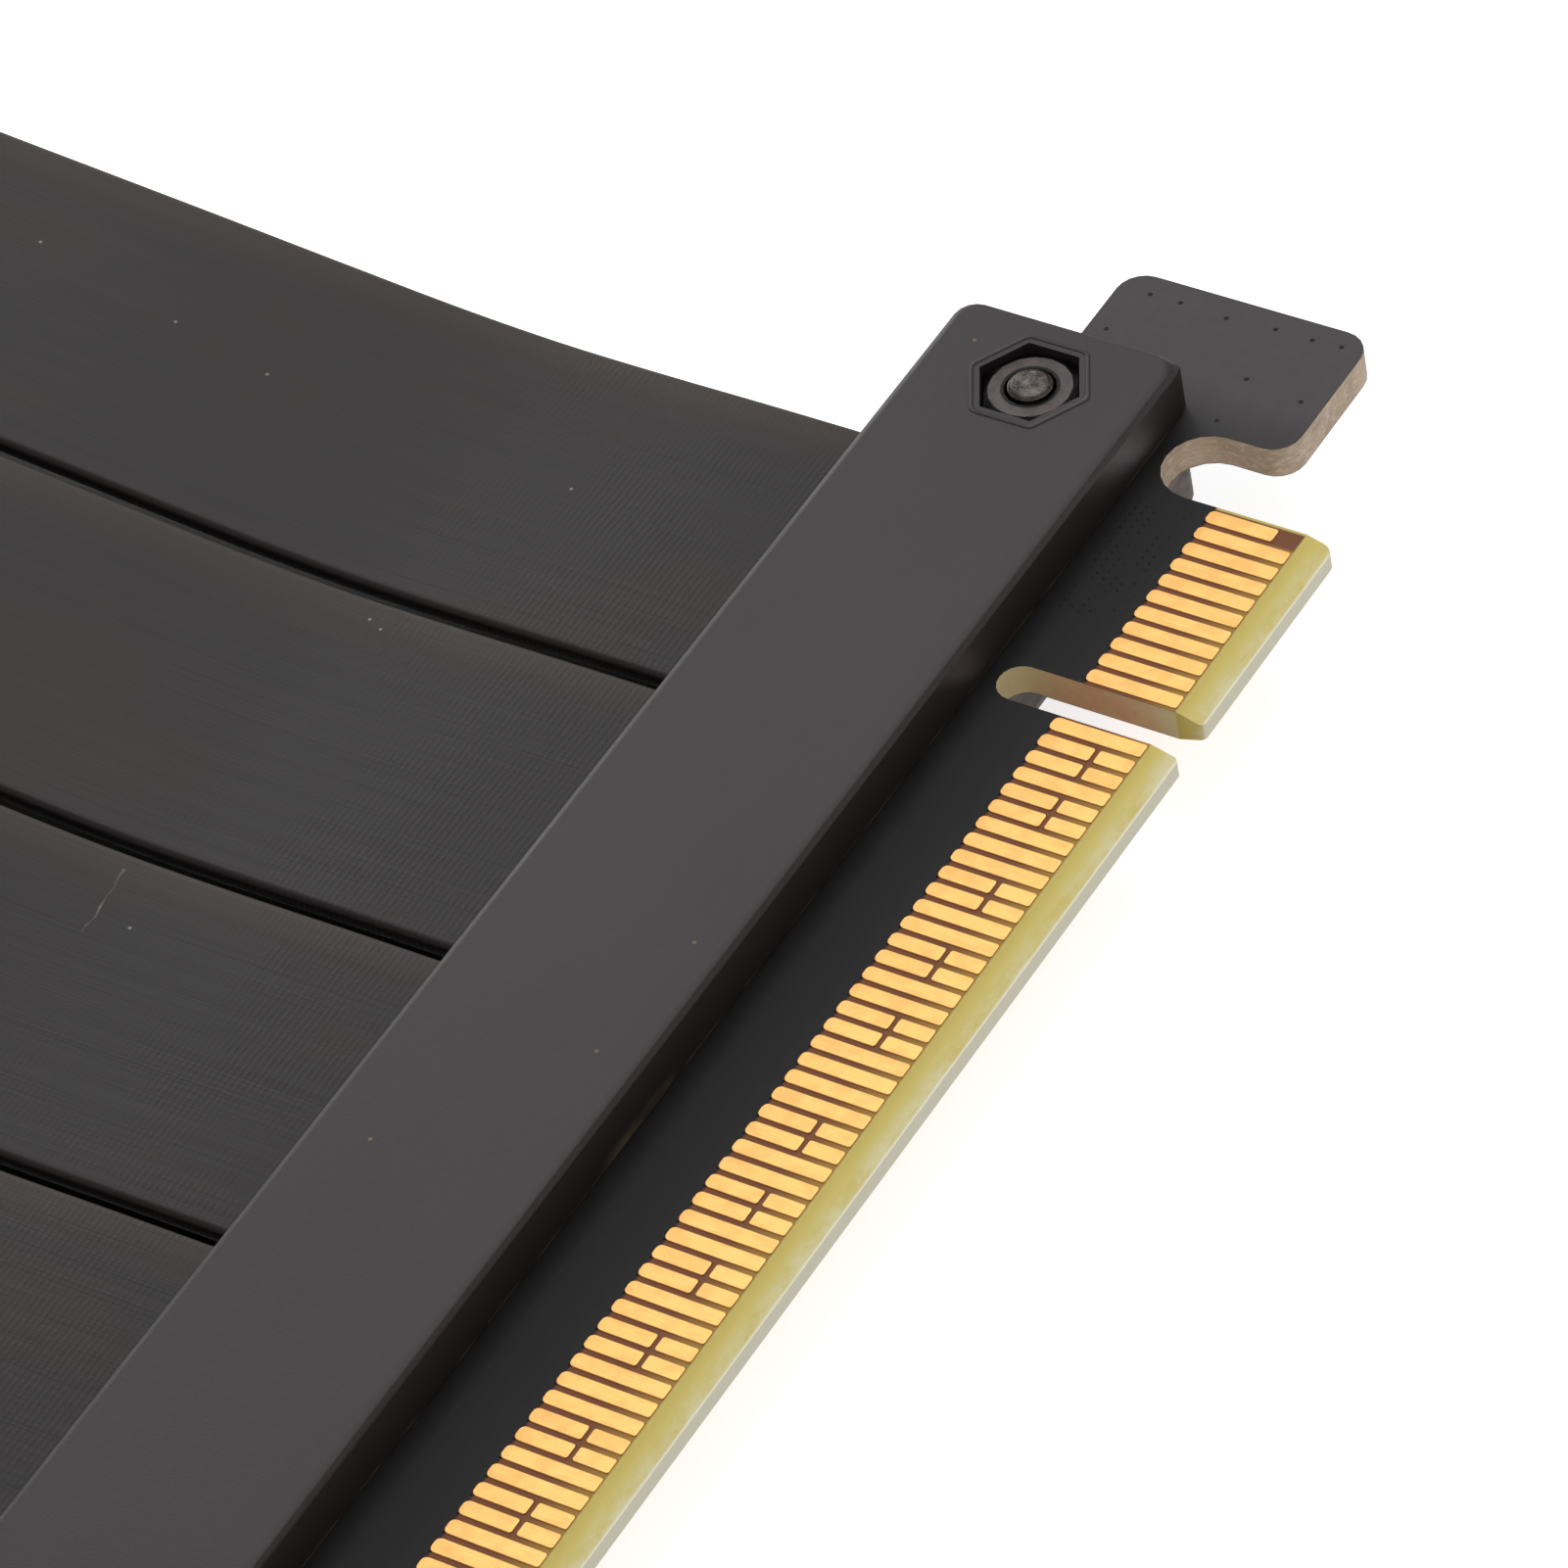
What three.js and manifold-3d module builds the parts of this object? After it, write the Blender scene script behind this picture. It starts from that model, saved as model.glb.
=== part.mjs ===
// Flat ribbon riser cable for a graphics card: a card-edge plug, ten shielded ribbons, a card slot.
// Millimetres, +Z up. +X runs from the slot end to the contact edge of the plug, and Y along the pins.
// Both ends stand on z = 0. The upper ribbons leave above each board and the lower ones below it.

import * as THREE from "three";
import { mergeGeometries, mergeVertices } from "three/addons/utils/BufferGeometryUtils.js";
import Module from "manifold-3d";

const wasm = await Module();
wasm.setup();

// Boards and the clearance between pieces
const BOARD_THICKNESS = 1.57;
const SEAT = 0.03;
const BOARD_CLEARANCE = 0.25;

// Contact row of the card edge
const PIN_PITCH = 1.0;
const PIN_COUNT = 82;
const PINS_BEFORE_KEY = 11;
const KEY_PITCHES = 2;
const PAD_WIDTH = 0.7;
const PAD_LENGTH = 4.3;
const PAD_SETBACK = 1.3;
const PAD_HEIGHT = 0.05;
const SHORT_PAD_SETBACK = 2.4;
const SPLIT_GAP = 0.24;
const SPLIT_OUTER_LENGTH = 1.62;

// Signal pairs whose contacts are split into an outer and an inner pad
const PAIRS_FRONT = [13, 16, 21, 25, 29, 35, 39, 43, 47, 52, 56, 60, 64, 68, 72, 76, 80];
const PAIRS_BACK = [14, 19, 23, 27, 33, 37, 41, 45, 50, 54, 58, 62, 66, 70, 74, 78];
const SHORT_FRONT = [1];
const SHORT_BACK = [17, 31, 48, 81];

// Outline of the plug's board
const TAB_MARGIN = 0.62;
const TAB_CORNER = 0.5;
const BEVEL_LENGTH = 1.25;
const BEVEL_DEPTH = 0.4;
const NOTCH_WIDTH = 2.0;
const NOTCH_DEPTH = 8.95;
const HOOK_SLOT_WIDTH = 3.85;
const HOOK_SLOT_DEPTH = 9.0;
const HOOK_SETBACK = 4.27;
const HOOK_LENGTH = 11.8;
const HOOK_HEIGHT = 7.6;
const HOOK_CORNER = 1.25;
const BOARD_CORNER = 0.8;

// Clamshell housing
const HOUSING_DEPTH = 10.64;
const HOUSING_END_MARGIN = 8.4;
const HOUSING_CORNER = 1.1;
const UPPER_HEIGHT = 2.65;
const LOWER_HEIGHT = 4.0;
const UPPER_CHAMFER_WIDTH = 0.45;
const UPPER_CHAMFER_HEIGHT = 0.38;
const LOWER_CHAMFER_WIDTH = 0.6;
const LOWER_CHAMFER_HEIGHT = 0.95;
const REAR_WALL = 1.8;
const FRONT_WALL = 1.7;
const END_WALL = 1.0;
const BLADE_REACH = 9.56;

// Ribbons
const RIBBON_COUNT = 5;
const RIBBON_WIDTH = 15.85;
const RIBBON_GAP = 0.6;
const RIBBON_THICKNESS = 0.9;
const RIBBON_EDGE = 0.25;
const RIBBON_LIFT = 1.2;
const RIBBON_CLEARANCE = 0.12;
const RIBBON_TAIL = 4.2;
const RIBBON_REST_GAP = 0.03;
const RIBBON_LAYER_GAP = 0.24;
const RIBBON_STEPS = 24;
const CABLE_SPAN = 197;
const FIRST_RIBBON_TO_PIN = 2.73;

// Screws and nuts that clamp each housing
const SCREW_INSET = 3.7;
const SCREW_RADIUS = 0.95;
const SCREW_HOLE_RADIUS = 1.15;
const HEAD_RADIUS = 1.85;
const HEAD_HEIGHT = 1.25;
const HEAD_RECESS_RADIUS = 2.1;
const HEAD_RECESS_DEPTH = 1.4;
const HEAD_SLOT_WIDTH = 0.42;
const HEAD_SLOT_DEPTH = 0.6;
const NUT_FLATS = 4.0;
const NUT_THICKNESS = 1.6;
const NUT_BORE_RADIUS = 1.12;
const NUT_CHAMFER = 0.3;
const NUT_POCKET_CLEARANCE = 0.09;
const NUT_RECESS = 0.3;
const SCREW_PROUD = 0.15;
const ROUND_SIDES = 16;

// Card slot and its board
const SLOT_WIDTH = 7.5;
const SLOT_HEIGHT = 11.25;
const SLOT_END_WALL = 2.6;
const SLOT_CHAMFER = 0.4;
const SLOT_GAP_FROM_HOUSING = 2.4;
const GROOVE_WIDTH = 1.8;
const GROOVE_DEPTH = 8.3;
const GROOVE_CLEARANCE = 0.2;
const CELL_WIDTH = 0.62;
const CELL_REACH = 1.4;
const CELL_DEPTH = 3.4;
const LEAD_IN = 0.5;
const SOCKET_BOARD_MARGIN = 2.4;
const EAR_LENGTH = 7.0;
const EAR_CORNER = 1.6;
const EAR_STEP = 1.4;
const EAR_HOLE_RADIUS = 1.8;
const EAR_HOLE_INSET = 3.4;
const BASE_RIM = 0.9;

// Heights
const BOARD_BOTTOM = LOWER_HEIGHT;
const BOARD_TOP = BOARD_BOTTOM + BOARD_THICKNESS;
const UPPER_TOP = BOARD_TOP + UPPER_HEIGHT;
const UPPER_RIBBON_Z = BOARD_TOP + RIBBON_LIFT + RIBBON_THICKNESS / 2;
const LOWER_RIBBON_Z = BOARD_BOTTOM - RIBBON_LIFT - RIBBON_THICKNESS / 2;
const LOWER_REST = RIBBON_THICKNESS / 2 + RIBBON_REST_GAP;
const UPPER_REST = LOWER_REST + RIBBON_THICKNESS + RIBBON_LAYER_GAP;

// Places along Y: the ribbons are centred on Y = 0 and pin 1 stands at the +Y end
const RIBBON_PITCH = RIBBON_WIDTH + RIBBON_GAP;
const RIBBON_ROW = RIBBON_COUNT * RIBBON_PITCH - RIBBON_GAP;
const PIN_1_Y = RIBBON_ROW / 2 + FIRST_RIBBON_TO_PIN;
const HOUSING_HALF = RIBBON_ROW / 2 + HOUSING_END_MARGIN;
const BOARD_HALF = HOUSING_HALF - END_WALL;
const SCREW_Y = HOUSING_HALF - SCREW_INSET;
const SCREW_X = HOUSING_DEPTH / 2;

// Places along X, measured from the face of each housing that the cable leaves
const CONTACT_EDGE = HOUSING_DEPTH + BLADE_REACH;
const BOARD_BACK = REAR_WALL + BOARD_CLEARANCE;
const BOARD_SHOULDER = HOUSING_DEPTH - FRONT_WALL;
const SLOT_NEAR = HOUSING_DEPTH + SLOT_GAP_FROM_HOUSING;
const SLOT_MIDDLE = SLOT_NEAR + SLOT_WIDTH / 2;
const SOCKET_BOARD_FRONT = SLOT_NEAR + SLOT_WIDTH + SOCKET_BOARD_MARGIN;
const BASE_DEPTH = SOCKET_BOARD_FRONT + BOARD_CLEARANCE + BASE_RIM;

// The origin lies under the middle of the two ends
const TOTAL_LENGTH = CONTACT_EDGE + CABLE_SPAN + BASE_DEPTH;
const PLUG_X = TOTAL_LENGTH / 2 - CONTACT_EDGE;
const SOCKET_X = PLUG_X - CABLE_SPAN;

// Middle of a pin's contact along Y; the key takes the room of two pins
function pinY(pin) {
  const keyed = pin > PINS_BEFORE_KEY ? KEY_PITCHES : 0;
  return PIN_1_Y - (pin - 1 + keyed) * PIN_PITCH;
}

const KEY_Y = (pinY(PINS_BEFORE_KEY) + pinY(PINS_BEFORE_KEY + 1)) / 2;
const TAB_HIGH = pinY(1) + TAB_MARGIN;
const TAB_LOW = pinY(PIN_COUNT) - TAB_MARGIN;

const COLOURS = {
  shell: { color: 0x4b4847, roughness: 0.55, metalness: 0 },
  board: { color: 0x37322f, roughness: 0.5, metalness: 0 },
  ribbon: { color: 0x444241, roughness: 0.5, metalness: 0 },
  slot: { color: 0x2a2827, roughness: 0.55, metalness: 0 },
  nut: { color: 0x55524f, roughness: 0.4, metalness: 0.8 },
  screw: { color: 0x9b948c, roughness: 0.3, metalness: 0.9 },
};

function material(name) {
  return new THREE.MeshStandardMaterial(COLOURS[name]);
}

// Geometry to solid and back
function solid(geometry) {
  const bare = geometry.clone();
  bare.deleteAttribute("normal");
  bare.deleteAttribute("uv");
  const merged = mergeVertices(bare, 1e-5);
  const mesh = new wasm.Mesh({
    numProp: 3,
    vertProperties: Float32Array.from(merged.attributes.position.array),
    triVerts: Uint32Array.from(merged.index.array),
  });
  return new wasm.Manifold(mesh);
}

function geometryOf(body) {
  const mesh = body.getMesh();
  const geometry = new THREE.BufferGeometry();
  const count = mesh.vertProperties.length / mesh.numProp;
  const positions = new Float32Array(count * 3);
  for (let i = 0; i < count; i += 1) {
    for (let k = 0; k < 3; k += 1) positions[3 * i + k] = mesh.vertProperties[i * mesh.numProp + k];
  }
  geometry.setAttribute("position", new THREE.BufferAttribute(positions, 3));
  geometry.setIndex(Array.from(mesh.triVerts));
  geometry.computeVertexNormals();
  return geometry;
}

// Outline with its corners rounded: each corner is [x, y, radius], in order round the shape
function roundedOutline(corners, stepsPerQuarter = 5) {
  const points = [];
  corners.forEach(([x, y, radius], i) => {
    const before = corners[(i + corners.length - 1) % corners.length];
    const after = corners[(i + 1) % corners.length];
    const here = new THREE.Vector2(x, y);
    if (radius <= 0) {
      points.push(here);
      return;
    }
    const back = new THREE.Vector2(before[0], before[1]).sub(here);
    const ahead = new THREE.Vector2(after[0], after[1]).sub(here);
    const half = Math.acos(back.clone().normalize().dot(ahead.clone().normalize())) / 2;
    const reach = radius / Math.tan(half);
    const middle = back.clone().normalize().add(ahead.clone().normalize()).normalize();
    const centre = here.clone().addScaledVector(middle, radius / Math.sin(half));
    const start = here.clone().addScaledVector(back.normalize(), reach).sub(centre);
    const end = here.clone().addScaledVector(ahead.normalize(), reach).sub(centre);
    let sweep = end.angle() - start.angle();
    if (sweep > Math.PI) sweep -= 2 * Math.PI;
    if (sweep < -Math.PI) sweep += 2 * Math.PI;
    const steps = Math.max(2, Math.round((Math.abs(sweep) / (Math.PI / 2)) * stepsPerQuarter));
    for (let k = 0; k <= steps; k += 1) {
      const angle = start.angle() + (sweep * k) / steps;
      points.push(new THREE.Vector2(Math.cos(angle), Math.sin(angle)).multiplyScalar(radius).add(centre));
    }
  });
  return points.filter((point, i) => point.distanceTo(points[(i + 1) % points.length]) > 1e-4);
}

function prism(points, bottom, top) {
  const settings = { depth: top - bottom, bevelEnabled: false };
  const geometry = new THREE.ExtrudeGeometry(new THREE.Shape(points), settings);
  geometry.translate(0, 0, bottom);
  return geometry;
}

function block(x0, x1, y0, y1, z0, z1) {
  const geometry = new THREE.BoxGeometry(x1 - x0, y1 - y0, z1 - z0);
  geometry.translate((x0 + x1) / 2, (y0 + y1) / 2, (z0 + z1) / 2);
  return geometry;
}

function rod(radius, x, y, z0, z1, sides = ROUND_SIDES) {
  const geometry = new THREE.CylinderGeometry(radius, radius, z1 - z0, sides);
  geometry.rotateX(Math.PI / 2);
  geometry.translate(x, y, (z0 + z1) / 2);
  return geometry;
}

// Convex bar stacked from rings: each level gives a height and how far the outline is drawn in
function ringBar(depth, half, corner, levels) {
  const rings = levels.map(({ z, inset }) => {
    const r = Math.max(corner - inset, 0.2);
    const x0 = inset;
    const x1 = depth - inset;
    const y = half - inset;
    const corners = [[x0, -y, r], [x1, -y, r], [x1, y, r], [x0, y, r]];
    return roundedOutline(corners, 4).map((point) => [point.x, point.y, z]);
  });
  const count = rings[0].length;
  const faces = [];
  for (let k = 0; k + 1 < rings.length; k += 1) {
    for (let i = 0; i < count; i += 1) {
      const a = k * count + i;
      const b = k * count + ((i + 1) % count);
      faces.push(a, b, b + count, a, b + count, a + count);
    }
  }
  const last = (rings.length - 1) * count;
  for (let i = 1; i + 1 < count; i += 1) {
    faces.push(0, i + 1, i, last, last + i, last + i + 1);
  }
  const geometry = new THREE.BufferGeometry();
  geometry.setAttribute("position", new THREE.Float32BufferAttribute(rings.flat(2), 3));
  geometry.setIndex(faces);
  return geometry;
}

function hexagon(flats, x, y) {
  const radius = flats / Math.sqrt(3);
  return Array.from({ length: 6 }, (_, i) => {
    const angle = (i * Math.PI) / 3 + Math.PI / 6;
    return new THREE.Vector2(x + radius * Math.cos(angle), y + radius * Math.sin(angle));
  });
}

const SCREW_PLACES = [SCREW_Y, -SCREW_Y];

// Contacts of one face of the plug: one pad a pin, split in two on the signal pairs
function padRow(pairs, shorts, bottom, top) {
  const splitPins = new Set(pairs.flatMap((pin) => [pin, pin + 1]));
  const inner = CONTACT_EDGE - PAD_SETBACK - PAD_LENGTH;
  const outer = CONTACT_EDGE - PAD_SETBACK;
  const split = outer - SPLIT_OUTER_LENGTH;
  const pads = [];
  for (let pin = 1; pin <= PIN_COUNT; pin += 1) {
    const low = pinY(pin) - PAD_WIDTH / 2;
    const high = pinY(pin) + PAD_WIDTH / 2;
    const reach = shorts.includes(pin) ? CONTACT_EDGE - SHORT_PAD_SETBACK : outer;
    if (splitPins.has(pin)) {
      pads.push(block(inner, split - SPLIT_GAP, low, high, bottom, top));
      pads.push(block(split, outer, low, high, bottom, top));
    } else {
      pads.push(block(inner, reach, low, high, bottom, top));
    }
  }
  return solid(mergeGeometries(pads));
}

// Board of the plug: the bevelled card edge with its key notch, and the hook beside pin 1
function plugBoard() {
  const hookFoot = TAB_HIGH + HOOK_SLOT_WIDTH;
  const hookTop = hookFoot + HOOK_HEIGHT;
  const hookFront = CONTACT_EDGE - HOOK_SETBACK;
  const hookBack = hookFront - HOOK_LENGTH;
  const slotEnd = CONTACT_EDGE - HOOK_SLOT_DEPTH;
  const notchEnd = CONTACT_EDGE - NOTCH_DEPTH;
  const notchRound = NOTCH_WIDTH / 2;
  const slotRound = HOOK_SLOT_WIDTH / 2;
  const outline = roundedOutline([
    [BOARD_BACK, -BOARD_HALF, BOARD_CORNER],
    [BOARD_SHOULDER, -BOARD_HALF, BOARD_CORNER],
    [BOARD_SHOULDER, TAB_LOW, BOARD_CORNER],
    [CONTACT_EDGE, TAB_LOW, TAB_CORNER],
    [CONTACT_EDGE, KEY_Y - notchRound, TAB_CORNER / 2],
    [notchEnd, KEY_Y - notchRound, notchRound * 0.999],
    [notchEnd, KEY_Y + notchRound, notchRound * 0.999],
    [CONTACT_EDGE, KEY_Y + notchRound, TAB_CORNER / 2],
    [CONTACT_EDGE, TAB_HIGH, TAB_CORNER],
    [slotEnd, TAB_HIGH, slotRound * 0.999],
    [slotEnd, hookFoot, slotRound * 0.999],
    [hookFront, hookFoot, HOOK_CORNER],
    [hookFront, hookTop, HOOK_CORNER],
    [hookBack, hookTop, HOOK_CORNER],
    [hookBack, BOARD_HALF, BOARD_CORNER],
    [BOARD_BACK, BOARD_HALF, BOARD_CORNER],
  ]);
  const bevelStart = CONTACT_EDGE - BEVEL_LENGTH;
  const side = new THREE.Shape();
  side.moveTo(0, BOARD_BOTTOM);
  side.lineTo(bevelStart, BOARD_BOTTOM);
  side.lineTo(CONTACT_EDGE, BOARD_BOTTOM + BEVEL_DEPTH);
  side.lineTo(CONTACT_EDGE, BOARD_TOP - BEVEL_DEPTH);
  side.lineTo(bevelStart, BOARD_TOP);
  side.lineTo(0, BOARD_TOP);
  const room = hookTop + HOUSING_HALF;
  const profile = new THREE.ExtrudeGeometry(side, { depth: 2 * room, bevelEnabled: false });
  profile.rotateX(Math.PI / 2);
  profile.translate(0, room, 0);
  let body = solid(prism(outline, BOARD_BOTTOM, BOARD_TOP)).intersect(solid(profile));
  body = body.add(padRow(PAIRS_FRONT, SHORT_FRONT, BOARD_TOP - PAD_HEIGHT, BOARD_TOP + PAD_HEIGHT));
  body = body.add(padRow(PAIRS_BACK, SHORT_BACK, BOARD_BOTTOM - PAD_HEIGHT, BOARD_BOTTOM + PAD_HEIGHT));
  for (const y of SCREW_PLACES) {
    body = body.subtract(solid(rod(SCREW_HOLE_RADIUS, SCREW_X, y, 0, UPPER_TOP)));
  }
  return body;
}

// Room for the ribbons in a housing half: a slot through the rear wall and a pocket at the joints
function ribbonRoom(ribbonZ, boardFace) {
  const half = RIBBON_ROW / 2 + RIBBON_CLEARANCE;
  const reach = RIBBON_THICKNESS / 2 + RIBBON_CLEARANCE;
  const low = Math.min(ribbonZ - reach, boardFace);
  const high = Math.max(ribbonZ + reach, boardFace);
  const mouth = block(-1, BOARD_BACK, -half, half, ribbonZ - reach, ribbonZ + reach);
  const floor = boardFace < ribbonZ ? low - SEAT : low;
  const roof = boardFace < ribbonZ ? high : high + SEAT;
  const pocket = block(REAR_WALL, BOARD_SHOULDER - FRONT_WALL, -half, half, floor, roof);
  return solid(mouth).add(solid(pocket));
}

function upperShell() {
  let body = solid(ringBar(HOUSING_DEPTH, HOUSING_HALF, HOUSING_CORNER, [
    { z: BOARD_TOP + SEAT, inset: 0 },
    { z: UPPER_TOP - UPPER_CHAMFER_HEIGHT, inset: 0 },
    { z: UPPER_TOP - UPPER_CHAMFER_HEIGHT / 3, inset: UPPER_CHAMFER_WIDTH / 3 },
    { z: UPPER_TOP, inset: UPPER_CHAMFER_WIDTH },
  ]));
  body = body.subtract(ribbonRoom(UPPER_RIBBON_Z, BOARD_TOP));
  const pocketFloor = UPPER_TOP - NUT_RECESS - NUT_THICKNESS - SEAT;
  const pocketFlats = NUT_FLATS + 2 * NUT_POCKET_CLEARANCE;
  for (const y of SCREW_PLACES) {
    body = body.subtract(solid(rod(SCREW_HOLE_RADIUS, SCREW_X, y, 0, UPPER_TOP)));
    body = body.subtract(solid(prism(hexagon(pocketFlats, SCREW_X, y), pocketFloor, UPPER_TOP + 1)));
  }
  return body;
}

// Lower half: it carries the board in a recess, open at the front and where the board passes its wall
function lowerShell(depth, passages) {
  let body = solid(ringBar(depth, HOUSING_HALF, HOUSING_CORNER, [
    { z: 0, inset: LOWER_CHAMFER_WIDTH },
    { z: LOWER_CHAMFER_HEIGHT / 3, inset: LOWER_CHAMFER_WIDTH / 3 },
    { z: LOWER_CHAMFER_HEIGHT, inset: 0 },
    { z: BOARD_TOP, inset: 0 },
  ]));
  const floor = BOARD_BOTTOM - SEAT;
  for (const [x0, x1, y0, y1] of passages) {
    body = body.subtract(solid(block(x0, x1, y0, y1, floor, BOARD_TOP + 1)));
  }
  body = body.subtract(ribbonRoom(LOWER_RIBBON_Z, BOARD_BOTTOM));
  for (const y of SCREW_PLACES) {
    body = body.subtract(solid(rod(SCREW_HOLE_RADIUS, SCREW_X, y, -1, UPPER_TOP)));
    body = body.subtract(solid(rod(HEAD_RECESS_RADIUS, SCREW_X, y, -1, HEAD_RECESS_DEPTH)));
  }
  return body;
}

// Nut with its corners turned off at the top
function nut(y) {
  const top = UPPER_TOP - NUT_RECESS;
  const bottom = top - NUT_THICKNESS;
  const corner = NUT_FLATS / Math.sqrt(3) + 0.1;
  const crown = NUT_FLATS * 0.46;
  const turned = new THREE.LatheGeometry([
    new THREE.Vector2(0, bottom),
    new THREE.Vector2(corner, bottom),
    new THREE.Vector2(corner, top - NUT_CHAMFER),
    new THREE.Vector2(crown, top),
    new THREE.Vector2(0, top),
  ], ROUND_SIDES);
  turned.rotateX(Math.PI / 2);
  turned.translate(SCREW_X, y, 0);
  const body = solid(prism(hexagon(NUT_FLATS, SCREW_X, y), bottom, top)).intersect(solid(turned));
  return body.subtract(solid(rod(NUT_BORE_RADIUS, SCREW_X, y, bottom - 1, top + 1)));
}

// Screw that comes up from below, with a cross recess in its head
function screw(y) {
  const seat = HEAD_RECESS_DEPTH - SEAT;
  const foot = seat - HEAD_HEIGHT;
  const end = UPPER_TOP - NUT_RECESS + SCREW_PROUD;
  const tip = SCREW_RADIUS * 0.3;
  const turned = new THREE.LatheGeometry([
    new THREE.Vector2(0, foot),
    new THREE.Vector2(HEAD_RADIUS - tip, foot),
    new THREE.Vector2(HEAD_RADIUS, foot + tip),
    new THREE.Vector2(HEAD_RADIUS, seat),
    new THREE.Vector2(SCREW_RADIUS, seat),
    new THREE.Vector2(SCREW_RADIUS, end - tip),
    new THREE.Vector2(SCREW_RADIUS - tip, end),
    new THREE.Vector2(0, end),
  ], ROUND_SIDES);
  turned.rotateX(Math.PI / 2);
  turned.translate(SCREW_X, y, 0);
  const arm = HEAD_RADIUS * 0.6;
  const half = HEAD_SLOT_WIDTH / 2;
  const top = foot + HEAD_SLOT_DEPTH;
  const along = solid(block(SCREW_X - arm, SCREW_X + arm, y - half, y + half, foot - 1, top));
  const across = solid(block(SCREW_X - half, SCREW_X + half, y - arm, y + arm, foot - 1, top));
  return solid(turned).subtract(along.add(across));
}

// Board of the slot end, with a screw ear beyond each end of the housing
function socketBoard() {
  const earY = HOUSING_HALF + EAR_LENGTH;
  const step = HOUSING_DEPTH + EAR_STEP;
  const outline = roundedOutline([
    [BOARD_BACK, -BOARD_HALF, BOARD_CORNER],
    [step, -BOARD_HALF, BOARD_CORNER],
    [step, -earY, EAR_CORNER],
    [SOCKET_BOARD_FRONT, -earY, EAR_CORNER],
    [SOCKET_BOARD_FRONT, earY, EAR_CORNER],
    [step, earY, EAR_CORNER],
    [step, BOARD_HALF, BOARD_CORNER],
    [BOARD_BACK, BOARD_HALF, BOARD_CORNER],
  ]);
  let body = solid(prism(outline, BOARD_BOTTOM, BOARD_TOP));
  const earX = (step + SOCKET_BOARD_FRONT) / 2;
  for (const side of [-1, 1]) {
    const y = side * (earY - EAR_HOLE_INSET);
    body = body.subtract(solid(rod(EAR_HOLE_RADIUS, earX, y, 0, UPPER_TOP)));
    body = body.subtract(solid(rod(SCREW_HOLE_RADIUS, SCREW_X, side * SCREW_Y, 0, UPPER_TOP)));
  }
  return body;
}

// Plan of one run of the slot: a groove with a contact cell on each side of every pin
function grooveOutline(firstPin, lastPin) {
  const half = GROOVE_WIDTH / 2;
  const deep = half + CELL_REACH;
  const right = [];
  const left = [];
  for (let pin = firstPin; pin <= lastPin; pin += 1) {
    const low = -pinY(pin) - CELL_WIDTH / 2;
    const high = -pinY(pin) + CELL_WIDTH / 2;
    right.push([half, low], [deep, low], [deep, high], [half, high]);
    left.unshift([-half, high], [-deep, high], [-deep, low], [-half, low]);
  }
  const [start, end] = grooveEnds(firstPin, lastPin);
  const points = [[-half, start], [half, start], ...right, [half, end], [-half, end], ...left];
  return points.map(([x, y]) => new THREE.Vector2(SLOT_MIDDLE + x, y));
}

// Ends of one run of the slot: the card's edge or its key notch, plus the slot's clearance
function grooveEnds(firstPin, lastPin) {
  const keyHalf = NOTCH_WIDTH / 2 - GROOVE_CLEARANCE;
  const start = firstPin === 1 ? -TAB_HIGH - GROOVE_CLEARANCE : -KEY_Y + keyHalf;
  const end = lastPin === PIN_COUNT ? -TAB_LOW + GROOVE_CLEARANCE : -KEY_Y - keyHalf;
  return [start, end];
}

// Slot body: two grooved runs parted by the key, with a lead-in along the mouth
function slotBody() {
  const bottom = BOARD_TOP + SEAT;
  const top = BOARD_TOP + SLOT_HEIGHT;
  const y0 = -TAB_HIGH - GROOVE_CLEARANCE - SLOT_END_WALL;
  const y1 = -TAB_LOW + GROOVE_CLEARANCE + SLOT_END_WALL;
  const bar = ringBar(SLOT_WIDTH, (y1 - y0) / 2, SLOT_CHAMFER, [
    { z: bottom, inset: 0 },
    { z: top - SLOT_CHAMFER, inset: 0 },
    { z: top, inset: SLOT_CHAMFER },
  ]);
  bar.translate(SLOT_NEAR, (y0 + y1) / 2, 0);
  let body = solid(bar);
  const mouth = GROOVE_WIDTH / 2 + LEAD_IN;
  for (const [first, last] of [[1, PINS_BEFORE_KEY], [PINS_BEFORE_KEY + 1, PIN_COUNT]]) {
    const [start, end] = grooveEnds(first, last);
    const x0 = SLOT_MIDDLE - GROOVE_WIDTH / 2;
    const x1 = SLOT_MIDDLE + GROOVE_WIDTH / 2;
    const groove = block(x0, x1, start, end, top - GROOVE_DEPTH, top + 1);
    const cells = prism(grooveOutline(first, last), top - CELL_DEPTH, top - LEAD_IN);
    const cut = new THREE.Shape();
    cut.moveTo(SLOT_MIDDLE - GROOVE_WIDTH / 2, top - LEAD_IN);
    cut.lineTo(SLOT_MIDDLE + GROOVE_WIDTH / 2, top - LEAD_IN);
    cut.lineTo(SLOT_MIDDLE + mouth, top + SEAT);
    cut.lineTo(SLOT_MIDDLE - mouth, top + SEAT);
    const leadIn = new THREE.ExtrudeGeometry(cut, { depth: end - start, bevelEnabled: false });
    leadIn.rotateX(Math.PI / 2);
    leadIn.translate(0, end, 0);
    body = body.subtract(solid(groove)).subtract(solid(cells)).subtract(solid(leadIn));
  }
  return body;
}

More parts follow.
